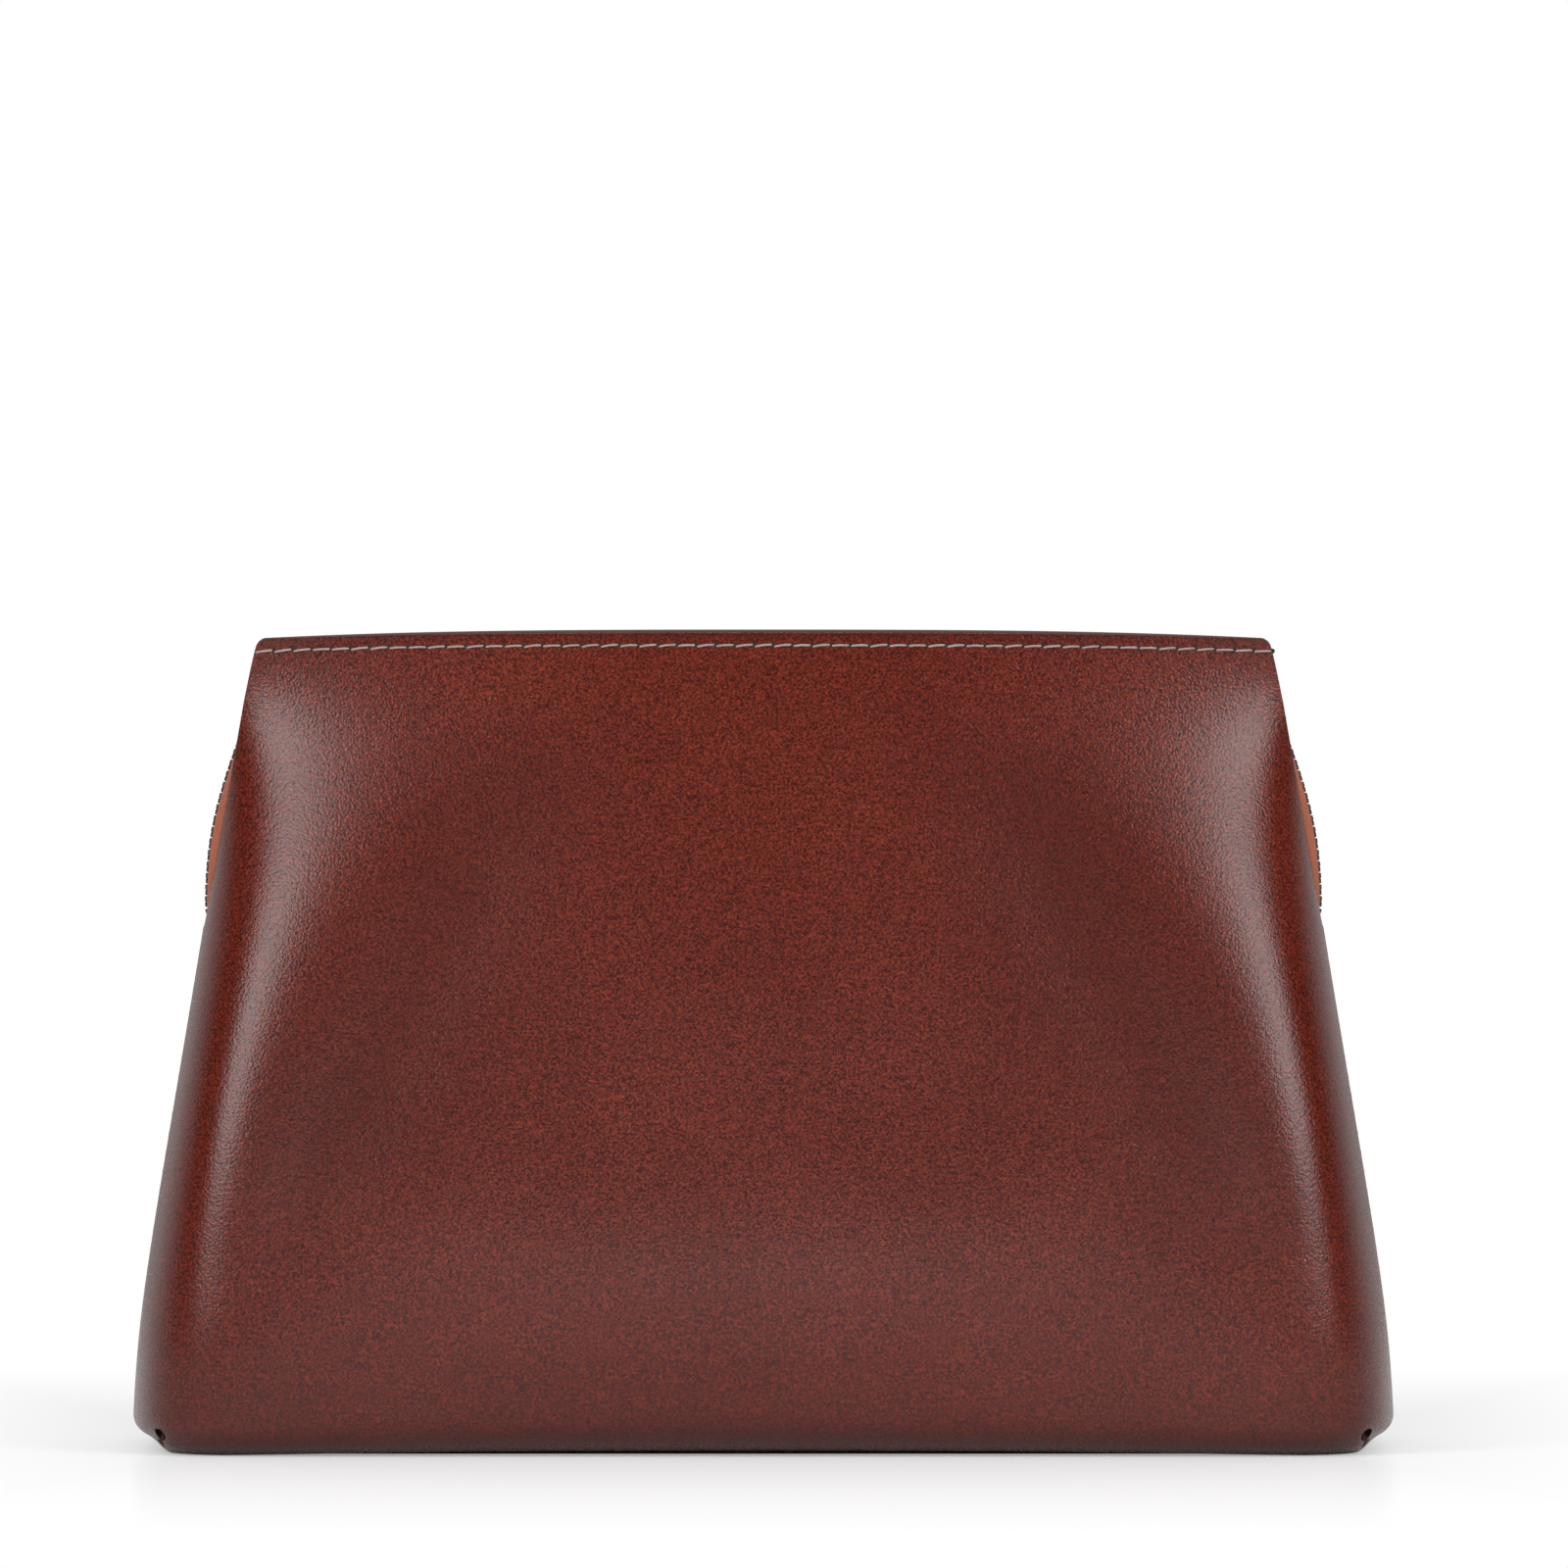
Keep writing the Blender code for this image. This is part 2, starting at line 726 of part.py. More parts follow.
loop_hole = ring_wire + gap
loop_fold = loop_hole + loop_leather
ring_standoff = loop_standoff + loop_fold
slope_span = loop_length / 2
slope_rise = half_depth(ring_bar_height - slope_span) - half_depth(ring_bar_height + slope_span)
panel_slope = math.atan(slope_rise / loop_length)
bar_y = plan_depth(ring_x, ring_bar_height) + ring_standoff / math.cos(panel_slope)
ring_lean = panel_slope - math.asin((ring_standoff - ring_wire - ring_rest_gap) / ring_depth)


def make_ring(end_name, sign):
    """A D-ring hung on its straight bar, and the leather loop that holds it."""
    bar_half = loop_width / 2 + ring_side_play + ring_wire
    round_from = ring_depth - bar_half
    shape = [(-bar_half, 0.0)]
    for i in range(9):
        angle = math.pi * (1 - i / 8)
        shape.append((bar_half * math.cos(angle), round_from + bar_half * math.sin(angle)))
    shape.append((bar_half, 0.0))
    placed = []
    for x, down in shape:
        y = bar_y + down * math.sin(ring_lean)
        placed.append((sign * ring_x + x, y, ring_bar_height - down * math.cos(ring_lean)))
    closed_wire(f"strap_ring_{end_name}", placed, ring_wire, gunmetal, 2)

    turn = Matrix.Rotation(panel_slope, 4, "X")

    def place(a, b, level):
        offset = turn @ Vector((level, b, a))
        return sign * ring_x + offset.x, bar_y + offset.y, ring_bar_height + offset.z

    layers_top = 2 * loop_leather - loop_fold
    last_angle = 2 * math.pi - math.asin(layers_top / loop_fold)
    outline = []
    for i in range(13):
        angle = math.pi / 2 + (last_angle - math.pi / 2) * i / 12
        outline.append((loop_fold * math.cos(angle), -loop_fold * math.sin(angle)))
    outline += [(loop_length, layers_top), (loop_length, -loop_fold)]
    points, faces = prism(outline, -loop_width / 2, loop_width / 2, place)
    loop = face_out(add_mesh(f"ring_loop_{end_name}", points, faces, trim_leather))
    points, faces = prism(circle(loop_hole, 10), -loop_width / 2 - gap, loop_width / 2 + gap, place)
    combine(loop, [add_cutter(f"ring_loop_hole_{end_name}", points, faces)], "DIFFERENCE")


for end_name, sign in (("left", -1), ("right", 1)):
    make_ring(end_name, sign)
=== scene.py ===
"""The looks of a leather pouch bag with a top zip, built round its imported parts.

Frame: metres, origin at the middle of the underside, +X along the width, -Y the photographed
front, +Z up. The forms of the leather and of the zip repeat the formulas of the part's source.
"""

import math

import bmesh
import bpy
import numpy as np
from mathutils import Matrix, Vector


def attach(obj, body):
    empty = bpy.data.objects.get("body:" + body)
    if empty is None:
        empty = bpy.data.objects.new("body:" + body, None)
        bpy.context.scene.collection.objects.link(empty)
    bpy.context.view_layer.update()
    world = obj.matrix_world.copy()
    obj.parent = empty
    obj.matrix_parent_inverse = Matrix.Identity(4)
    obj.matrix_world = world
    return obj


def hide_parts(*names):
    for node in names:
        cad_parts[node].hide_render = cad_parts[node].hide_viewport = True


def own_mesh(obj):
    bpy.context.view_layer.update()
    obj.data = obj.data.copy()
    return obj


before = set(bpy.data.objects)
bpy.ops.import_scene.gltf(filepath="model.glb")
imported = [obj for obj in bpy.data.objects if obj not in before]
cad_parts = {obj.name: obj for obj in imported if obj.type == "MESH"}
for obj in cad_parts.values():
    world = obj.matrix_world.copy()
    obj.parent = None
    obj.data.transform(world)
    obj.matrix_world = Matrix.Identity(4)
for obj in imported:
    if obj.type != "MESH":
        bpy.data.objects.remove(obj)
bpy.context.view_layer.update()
mm = 0.001

# Camera, square to the front panel and a little above the bag's top edge. The four photo values
# are pixels of the 1600 pixel square and the length that one covers at the bag's middle plane.

photo_size = 1600
photo_middle_column = 779
photo_floor_row = 1474.5
photo_pixel = 0.2043 * mm
camera_distance = 4.0
camera_height = 228 * mm

aim_height = (photo_floor_row - photo_size / 2) * photo_pixel
camera_drop = camera_height - aim_height


def add_to_scene(name, data):
    """An object in the scene with that camera, lamp or mesh."""
    made = bpy.data.objects.new(name, data)
    bpy.context.scene.collection.objects.link(made)
    return made


camera_data = bpy.data.cameras.new("camera")
camera_data.sensor_width = 36
camera_data.lens = 36 * math.hypot(camera_distance, camera_drop) / (photo_size * photo_pixel)
camera_data.shift_x = (photo_size / 2 - photo_middle_column) / photo_size
camera_data.clip_end = 50
camera = add_to_scene("camera", camera_data)
camera.location = (0, -camera_distance, camera_height)
camera.rotation_euler = (math.radians(90) - math.atan2(camera_drop, camera_distance), 0, 0)
bpy.context.scene.camera = camera
bpy.context.scene.view_settings.view_transform = "Standard"

# Studio light: a tall softbox beside each end of the bag, a wide one overhead and one in front with
# a small card below it, in a room that is pale near the floor, dark above and white behind the bag.


def add_node(tree, kind, inputs=(), **settings):
    """A node with its settings, and its inputs set or linked by name or number."""
    made = tree.nodes.new(kind)
    for name, value in settings.items():
        setattr(made, name, value)
    for name, value in dict(inputs).items():
        socket = made.inputs[name]
        if isinstance(value, bpy.types.NodeSocket):
            tree.links.new(value, socket)
        else:
            socket.default_value = value
    return made


def add_step(tree, kind, inputs=(), **settings):
    """What the first output of a new node gives."""
    return add_node(tree, kind, inputs, **settings).outputs[0]


def add_mix(tree, share, first, second, **settings):
    """A blend of two values or colours, a colour given as three numbers."""
    ends = [(*end, 1) if isinstance(end, tuple) else end for end in (first, second)]
    mixing = {0: share, 1: ends[0], 2: ends[1]}
    return add_step(tree, "ShaderNodeMixRGB", mixing, **settings)


def add_range(tree, value, low, high, start=0.0, end=1.0):
    """A value between start and end, moved to between low and high, and kept there."""
    limits = {"From Min": start, "From Max": end, "To Min": low, "To Max": high}
    return add_step(tree, "ShaderNodeMapRange", {"Value": value, **limits})


def add_softbox(name, place, width, height, power, reflected=True):
    """A rectangular lamp at a place, turned towards the middle of the bag."""
    lamp = bpy.data.lights.new(name, "AREA")
    lamp.shape = "RECTANGLE"
    lamp.size, lamp.size_y = width, height
    lamp.energy = power
    made = add_to_scene(name, lamp)
    made.location = place
    made.rotation_euler = (bag_middle - Vector(place)).to_track_quat("-Z", "Y").to_euler()
    made.visible_glossy = reflected


bag_middle = Vector((0, 0, 85 * mm))
for side_name, sign in (("left", -1), ("right", 1)):
    add_softbox(f"softbox_{side_name}", (sign * 0.93, -0.98, 0.95), 0.62, 0.9, 14.0)
add_softbox("softbox_top", (0, -0.15, 1.25), 1.3, 0.9, 3.0, reflected=False)
add_softbox("softbox_front", (0, -2.0, 0.7), 1.6, 0.8, 11.0, reflected=False)
add_softbox("front_card", (0, -1.5, 0.42), 0.5, 0.3, 1.2)

white = (1, 1, 1)
world = bpy.data.worlds.new("studio")
world.use_nodes = True
bpy.context.scene.world = world
sky = world.node_tree
sky.nodes.clear()
direction = add_node(sky, "ShaderNodeTexCoord").outputs["Generated"]
towards = add_node(sky, "ShaderNodeSeparateXYZ", {0: direction}).outputs
room = add_range(sky, towards["Z"], 1.0, 0.01, start=0.03, end=0.18)
behind = add_range(sky, towards["Y"], 0.0, 1.0, start=0.15, end=0.6)
rays = add_node(sky, "ShaderNodeLightPath").outputs
back_wall = add_mix(sky, rays["Is Glossy Ray"], white, (0.55, 0.55, 0.55))
walls = add_mix(sky, behind, room, back_wall)
seen = add_mix(sky, rays["Is Camera Ray"], walls, white)
backdrop = add_step(sky, "ShaderNodeBackground", {"Color": seen, "Strength": 1.0})
add_node(sky, "ShaderNodeOutputWorld", {"Surface": backdrop})

# Floor: a white table top with a faint shine. The camera sees it white, with the bag's shadow.

floor_reach = 8.0
floor_level = -0.05 * mm
floor_shine = 0.27


def add_math(tree, operation, *values):
    """A sum on values in a material or a Geometry Nodes tree."""
    return add_step(tree, "ShaderNodeMath", enumerate(values), operation=operation)


def add_fade(tree, share, first, second):
    """One shader that fades into another."""
    return add_step(tree, "ShaderNodeMixShader", {0: share, 1: first, 2: second})


def new_mesh(name, points, faces=(), edges=()):
    """A mesh from points, with faces or edges."""
    mesh = bpy.data.meshes.new(name)
    mesh.from_pydata(points, edges, faces)
    return mesh


corners = ((-1, -1), (1, -1), (1, 1), (-1, 1))
floor_points = [(x * floor_reach, y * floor_reach, floor_level) for x, y in corners]
floor_mesh = new_mesh("floor", floor_points, [(0, 1, 2, 3)])
floor = add_to_scene("floor", floor_mesh)
floor_white = bpy.data.materials.new("floor_white")
floor_white.use_nodes = True
table = floor_white.node_tree
table.nodes.clear()
rays = add_node(table, "ShaderNodeLightPath").outputs
mirrored = add_mix(table, rays["Is Glossy Ray"], (0.4, 0.4, 0.4), (0.95, 0.95, 0.95))
bounce = add_step(table, "ShaderNodeBsdfDiffuse", {"Color": mirrored})
shadowed = add_step(table, "ShaderNodeBsdfDiffuse", {"Color": (0.55, 0.55, 0.55, 1)})
glow = add_step(table, "ShaderNodeEmission", {"Color": (*white, 1), "Strength": 0.5})
lit = add_step(table, "ShaderNodeAddShader", {0: shadowed, 1: glow})
shine = add_step(table, "ShaderNodeBsdfGlossy", {"Color": (*white, 1), "Roughness": 0.16})
near = add_fade(table, floor_shine, lit, shine)
far = add_step(table, "ShaderNodeEmission", {"Color": (*white, 1), "Strength": 1.0})
place = add_node(table, "ShaderNodeTexCoord").outputs["Object"]
spread = add_step(table, "ShaderNodeVectorMath", {0: place}, operation="ABSOLUTE")
apart = add_node(table, "ShaderNodeSeparateXYZ", {0: spread}).outputs
beside = add_range(table, apart["X"], 0.0, 1.0, start=0.12, end=0.19)
ahead = add_range(table, apart["Y"], 0.0, 1.0, start=0.05, end=0.30)
shown = add_fade(table, add_math(table, "MAXIMUM", beside, ahead), near, far)
facing = add_fade(table, rays["Is Camera Ray"], bounce, shown)
add_node(table, "ShaderNodeOutputMaterial", {"Surface": facing})
floor_mesh.materials.append(floor_white)

# Leather panels, front and rear: each is one sheet of smooth chestnut leather that turns under at
# the base, wraps round both sides to the side seams, and stops short of the zip from the slot up.
# It is lofted from the body's plan at each height, then sags a little, and gets its thickness.

body_height = 170.3 * mm
corner_drop = 1.8 * mm
corner_drop_start = 155 * mm
top_settled = 0.4 * mm
front_lower = 0.5 * mm
corner_round = 1.6 * mm
base_half_width = 132.1 * mm
side_taper = 0.176
taper_start = 20 * mm
taper_blend = 20 * mm
base_half_depth = 47 * mm
mouth_half_depth = 8.5 * mm
upright_height = 20 * mm
flatness_low = 14
flatness_high = 6
soft_flatness_low = 20
soft_flatness_high = 3
side_roundness = 2.6
leather = 1.6 * mm
bottom_turn = 6 * mm
base_flange = 6 * mm
gap = 0.3 * mm
seam_half_gap = 0.06 * mm
slot_bottom = body_height - 62.3 * mm
slot_half = mouth_half_depth - 2 * mm
slot_end_round = 4 * mm

belly_depth = 3.4 * mm
belly_height = 38 * mm
belly_spread = 32 * mm
hollow_depth = 0.9 * mm
hollow_spread = 15 * mm
ridge_depth = 1.6 * mm
ridge_spread = 50 * mm
hollow_foot_x = 118 * mm
hollow_foot_z = 10 * mm
hollow_lean = 0.52
base_lift = 1.1 * mm
base_lift_height = 35 * mm
end_lift = 2.4 * mm
end_lift_start = 122.5 * mm
end_lift_height = 15 * mm
edge_round = 0.35 * mm
# Where shade is painted on the panels, in a zone beside their middle.
shade_zone_x = 61 * mm
shade_zone_z = 125 * mm
shade_zone_lean = 0.44
shade_zone_spread = 24 * mm


def side_half_width(z):
    """Half the width of the bag at a height, at the middle of its sides."""
    rise = z - taper_start
    return base_half_width - side_taper * (np.hypot(rise, taper_blend) + rise) / 2


def half_depth(z):
    """Half the depth at the middle of the panels: upright low down, then leaning in."""
    lean = np.maximum(0.0, (z - upright_height) / (body_height - upright_height))
    return base_half_depth - (base_half_depth - mouth_half_depth) * lean**1.5


def smooth_step(share):
    """From 0 to 1 with level ends."""
    share = np.clip(share, 0, 1)
    return share * share * (3 - 2 * share)


def rising(value, start, length):
    """From 0 to 1 over a length that begins at start."""
    return smooth_step((value - start) / length)


def falling(value, end, length):
    """From 1 to 0 over a length that stops at end."""
    return smooth_step((end - value) / length)


def fading(value, length):
    """From 1 at 0 and below, less and less over each length above it."""
    return np.exp(-np.maximum(value, 0) / length)


def hump(value, spread):
    """From 1 at 0, smoothly down to both sides."""
    return np.exp(-((value / spread) ** 2))


def flatness(z, side):
    """The exponent that keeps a panel flat up to its corners; the front's upper ones are softer."""
    if side > 0:
        sunk = (1 - np.clip(z / body_height, 0, 1)) ** 3
        return flatness_high + (flatness_low - flatness_high) * sunk
    low = falling(z, 160 * mm, 100 * mm)
    return soft_flatness_high + (soft_flatness_low - soft_flatness_high) * low


def slot_edge(z, half, bottom):
    """Distance of a sheet's side edge from the middle of the side."""
    rise = np.clip((z - bottom) / slot_end_round, 0, 1)
    return np.maximum(seam_half_gap, half * np.sqrt(1 - (1 - rise) ** 2))


def width_limit(z, inset=0.0, side=1):
    """Half width of the plan's full curve."""
    share = 1 - (slot_half / half_depth(z)) ** side_roundness
    return side_half_width(z) / share ** (1 / flatness(z, side)) - inset


def plan_depth(x, z, inset=0.0, side=1):
    """Distance from the middle plane to a panel's surface at x and z; side is -1 for the front."""
    share = 1 - (np.abs(x) / width_limit(z, inset, side)) ** flatness(z, side)
    return (half_depth(z) - inset) * np.maximum(share, 0.0) ** (1 / side_roundness)


def plan_half_width(y, z, inset=0.0, side=1):
    """Distance from the middle to a panel's side surface at y and z."""
    share = 1 - (np.abs(y) / (half_depth(z) - inset)) ** side_roundness
    return width_limit(z, inset, side) * np.maximum(share, 0.0) ** (1 / flatness(z, side))


def ray_to_plan(angles, exponent):
    """How far rays in the unit plan run before they meet its curve, by bisection."""
    low, high = np.full(len(angles), 0.5), np.full(len(angles), 1.5)
    for _ in range(40):
        middle = (low + high) / 2
        across = (middle * np.abs(np.cos(angles))) ** exponent
        inside = across + (middle * np.abs(np.sin(angles))) ** side_roundness < 1
        low, high = np.where(inside, middle, low), np.where(inside, high, middle)
    return low


def half_row(z, inset, edge, counts, side=1):
    """Points of one row, from the middle of the panel round the corner to its side edge."""
    flats, turns, sides = counts
    exponent, width, depth = flatness(z, side), width_limit(z, inset, side), half_depth(z) - inset
    x_flat = width * 0.06 ** (1 / exponent)
    y_side = max(depth * 0.3 ** (1 / side_roundness), edge + (depth - edge) / 4)
    x = x_flat * np.arange(flats) / flats
    front = np.stack([x, plan_depth(x, z, inset, side)], axis=1)
    start = math.atan2(plan_depth(x_flat, z, inset, side) / depth, x_flat / width)
    end = math.atan2(y_side / depth, plan_half_width(y_side, z, inset, side) / width)
    angles = np.linspace(start, end, turns + 1)
    reach = ray_to_plan(angles, exponent)
    corner = np.stack([width * reach * np.cos(angles), depth * reach * np.sin(angles)], axis=1)
    y = y_side + (edge - y_side) * np.arange(1, sides + 1) / sides
    wing = np.stack([plan_half_width(y, z, inset, side), y], axis=1)
    return np.concatenate([front, corner, wing])


def sheet_grid(levels, counts, side):
    """Rows of points across a whole panel, from (height, inset, edge) of each row."""
    rows = []
    for z, inset, edge in levels:
        half = half_row(z, inset, edge, counts, side)
        full = np.concatenate([half[:0:-1] * (-1, 1), half])
        rows.append(np.column_stack([full, np.full(len(full), z)]))
    return np.array(rows)


def sag(x, z):
    """How far a panel stands out of its straight loft: a low belly, a soft ridge up its middle, and
    a shallow hollow that runs down from each end of the mouth to each lower corner."""
    across = np.clip(1 - (np.abs(x) / (0.95 * side_half_width(z))) ** 2, 0, 1) ** 1.5
    belly = belly_depth * hump(z - belly_height, belly_spread) * across
    hollow_x = hollow_foot_x - hollow_lean * (z - hollow_foot_z)
    near_line = hump(np.abs(x) - hollow_x, hollow_spread)
    along = rising(z, 15 * mm, 35 * mm) * falling(z, 150 * mm, 45 * mm)
    ridge = ridge_depth * hump(x, ridge_spread) * rising(z, 40 * mm, 60 * mm)
    ridge = ridge * (1 - 0.7 * rising(z, 110 * mm, 60 * mm))
    return belly + ridge - hollow_depth * near_line * along


def edge_drop(x, side):
    """How far a panel's top edge lies under the body's height; the front's lies lower."""
    lower = front_lower if side < 0 else 0.0
    outward_share = (np.abs(x) / side_half_width(body_height)) ** 3
    return top_settled + lower + (corner_drop - lower) * outward_share


def drape(grid, side):
    """Settles a panel's straight loft: the sag, the lowered and rounded top corners, and the base
    edge lifted in the middle and at its ends."""
    x, y, z = grid[..., 0].copy(), grid[..., 1].copy(), grid[..., 2].copy()
    facing_front = smooth_step(y / half_depth(z) / 0.75 - 0.2)
    settled = grid.copy()
    settled[..., 1] = y + sag(x, z) * facing_front * smooth_step(z / (8 * mm))
    rise = np.clip((z - corner_drop_start) / (body_height - corner_drop_start), 0, 1)
    drop = edge_drop(x, side) * rise
    past = np.clip((np.abs(x) - side_half_width(z) + corner_round) / corner_round, 0, 0.96)
    drop += corner_round * (1 - np.sqrt(1 - past**2)) * rise**4
    middle = np.clip(1 - (x / (112 * mm)) ** 2, 0, 1)
    lift = base_lift * middle * np.clip(1 - z / base_lift_height, 0, 1) ** 2
    low_end = np.clip(1 - z / end_lift_height, 0, 1) ** 1.5
    ends = rising(np.abs(x), end_lift_start, 5 * mm) * low_end
    settled[..., 2] = z - drop + lift * facing_front + end_lift * ends
    return settled


def add_object(name, mesh):
    """A mesh object at the origin, smooth shaded."""
    mesh.shade_smooth()
    return add_to_scene(name, mesh)


def grid_mesh(name, grids):
    """One mesh from grids of points; its faces point to the left of their rows, seen going up."""
    points, faces, start = [], [], 0
    for grid in grids:
        rows, columns, _ = grid.shape
        index = start + np.arange(rows * columns).reshape(rows, columns)
        corners = [index[:-1, :-1], index[:-1, 1:], index[1:, 1:], index[1:, :-1]]
        faces += np.stack(corners, axis=-1).reshape(-1, 4).tolist()
        points += grid.reshape(-1, 3).tolist()
        start += rows * columns
    mesh = new_mesh(name, points, faces)
    mesh.update()
    return mesh


def prism_faces(count, rings=2):
    """Faces of a stack of rings with that many points each: both ends, then the walls."""
    faces = [list(range(count))[::-1], list(range((rings - 1) * count, rings * count))]
    for start in range(0, (rings - 1) * count, count):
        for i in range(count):
            j = (i + 1) % count
            faces.append([start + i, start + j, start + count + j, start + count + i])
    return faces


def keep_result(made):
    """Replaces an object's mesh by what its modifiers make of it."""
    bpy.context.view_layer.update()
    graph = bpy.context.evaluated_depsgraph_get()
    mesh = bpy.data.meshes.new_from_object(made.evaluated_get(graph), depsgraph=graph)
    made.modifiers.clear()
    made.data = mesh
    return made


def give_thickness(made, thick, offset=-1.0, rim_material=0, back_material=0):
    """A wall on one or both sides of a sheet."""
    wall = made.modifiers.new("wall", "SOLIDIFY")
    wall.thickness = thick
    wall.offset = offset
    wall.use_even_offset = True
    wall.material_offset_rim = rim_material
    wall.material_offset = back_material


def round_edges(made, width, segments=2, angle=50):
    """Rounds the edges that are sharper than an angle."""
    rounding = made.modifiers.new("rounding", "BEVEL")
    rounding.width = width
    rounding.segments = segments
    rounding.limit_method = "ANGLE"
    rounding.angle_limit = math.radians(angle)


def slot_rows(bottom, first, count):
    """Heights of the rows round the closed end of a slot, close together where it turns."""
    return [bottom + slot_end_round * (1 - np.cos(a)) for a in np.linspace(first, 1.571, count)]


def body_levels():
    """Height, inset and side edge of every row of a leather panel, bottom to top."""
    levels = [(0.0, bottom_turn + base_flange * share, seam_half_gap) for share in (1, 0.6, 0.25)]
    for angle in np.radians(np.linspace(0, 90, 14)):
        inset = bottom_turn * (1 - np.sin(angle))
        levels.append((bottom_turn * (1 - np.cos(angle)), inset, seam_half_gap))
    heights = list(np.linspace(bottom_turn, 30 * mm, 17)[1:])
    heights += list(np.linspace(30 * mm, slot_bottom, 36)[1:])
    heights += slot_rows(slot_bottom, 0.25, 9)
    heights += list(np.linspace(heights[-1], 163 * mm, 26)[1:])
    heights += list(np.linspace(163 * mm, body_height, 15)[1:])
    return levels + [(z, 0.0, float(slot_edge(z, slot_half, slot_bottom))) for z in heights]


def new_finish(name):
    """A material, its tree, and the place on the object that its patterns follow."""
    made = bpy.data.materials.new(name)
    made.use_nodes = True
    place = add_node(made.node_tree, "ShaderNodeTexCoord").outputs["Object"]
    return made, made.node_tree, place


def add_noise(tree, place, scale, detail, roughness=0.5):
    """Outputs of a cloudy noise with that many clouds to the metre."""
    values = {"Vector": place, "Scale": scale, "Detail": detail, "Roughness": roughness}
    return add_node(tree, "ShaderNodeTexNoise", values).outputs


def finish_surface(made, colour, roughness, height, strength, depth):
    """Links a material's colour, roughness and bump to its shader, whose inputs it gives back."""
    tree = made.node_tree
    shader = tree.nodes["Principled BSDF"].inputs
    relief = {"Height": height, "Strength": strength, "Distance": depth}
    bump = add_step(tree, "ShaderNodeBump", relief)
    for name, value in (("Base Color", colour), ("Roughness", roughness), ("Normal", bump)):
        tree.links.new(value, shader[name])
    return shader


def leather_material(name, deep, light, burnish_and_shade_tone, roughness):
    """Smooth full grain leather: fine pebbles and pores, light and dark specks, clouds of tone, and
    a darker tone where the mesh marks its rubbed top edge and its painted shade."""
    made, tree, place = new_finish(name)
    wobble = add_noise(tree, place, 1300.0, 1.0)["Color"]
    shift = {0: wobble, 1: (0.4 * mm, 0.4 * mm, 0.4 * mm), 2: place}
    shifted = add_step(tree, "ShaderNodeVectorMath", shift, operation="MULTIPLY_ADD")
    cells = {"Vector": shifted, "Scale": 1750.0, "Smoothness": 0.4}
    pebbles = add_node(tree, "ShaderNodeTexVoronoi", cells, feature="SMOOTH_F1").outputs["Distance"]
    pores = add_noise(tree, place, 3600.0, 3.0)[0]
    clouds = add_noise(tree, place, 26.0, 4.0)[0]
    specks = add_noise(tree, place, 2050.0, 1.0, roughness=0.6)[0]
    pebble_height = add_range(tree, pebbles, 1.0, 0.0, end=0.9)
    height = add_math(tree, "MULTIPLY_ADD", pores, 0.45, pebble_height)
    relief = add_math(tree, "MULTIPLY_ADD", specks, 0.9, height)
    ground = add_mix(tree, add_range(tree, clouds, 0.0, 1.0, start=0.3, end=0.7), deep, light)
    glint = add_range(tree, specks, 0.0, 1.0, start=0.38, end=0.72)
    grain = add_mix(tree, glint, (0.36, 0.34, 0.33), (1.75, 2.05, 1.85))
    grained = add_mix(tree, 1.0, ground, grain, blend_type="MULTIPLY")
    # The darker tone marks the rubbed top edge, and painted shade low down and beside the middle.
    wear_and_shade = add_node(tree, "ShaderNodeAttribute", attribute_name="wear_and_shade").outputs["Fac"]
    rubbed_and_shaded = add_mix(tree, wear_and_shade, grained, burnish_and_shade_tone)
    polish = add_range(tree, height, roughness + 0.04, roughness - 0.05, start=0.3, end=1.3)
    shader = finish_surface(made, rubbed_and_shaded, polish, relief, 0.4, 0.12 * mm)
    shader["Specular IOR Level"].default_value = 0.35
    shader["Coat Weight"].default_value = 0.08
    shader["Coat Roughness"].default_value = 0.25
    return made


def edge_material(name, colour, roughness):
    """A cut leather edge, painted and polished by rubbing, with faint layers along it."""
    made, tree, place = new_finish(name)
    fibres = add_noise(tree, place, 1800.0, 3.0)[0]
    layers = add_range(tree, fibres, 0.6, 1.3)
    tinted = add_mix(tree, 1.0, colour, layers, blend_type="MULTIPLY")
    gloss = add_range(tree, fibres, roughness - 0.1, roughness + 0.15)
    finish_surface(made, tinted, gloss, fibres, 0.2, 0.1 * mm)
    return made


grain_tones = ((0.099, 0.0090, 0.0038), (0.122, 0.0133, 0.0063), (0.045, 0.0060, 0.0034))
flesh_tones = ((0.15, 0.065, 0.040), (0.19, 0.085, 0.055), (0.10, 0.04, 0.03))
body_leather = leather_material("body_leather", *grain_tones, 0.27)
leather_edge = edge_material("leather_edge", (0.060, 0.020, 0.014), 0.42)
leather_back = leather_material("leather_back", *flesh_tones, 0.75)

panel_counts = (64, 46, 12)
relief_x = 124.6 * mm
relief_z = 4.0 * mm
relief_radius = 1.35 * mm
relief_slit = 0.5 * mm
slit_flare = 4 * mm
slit_drop = 6 * mm
punch_reach = 4 * mm


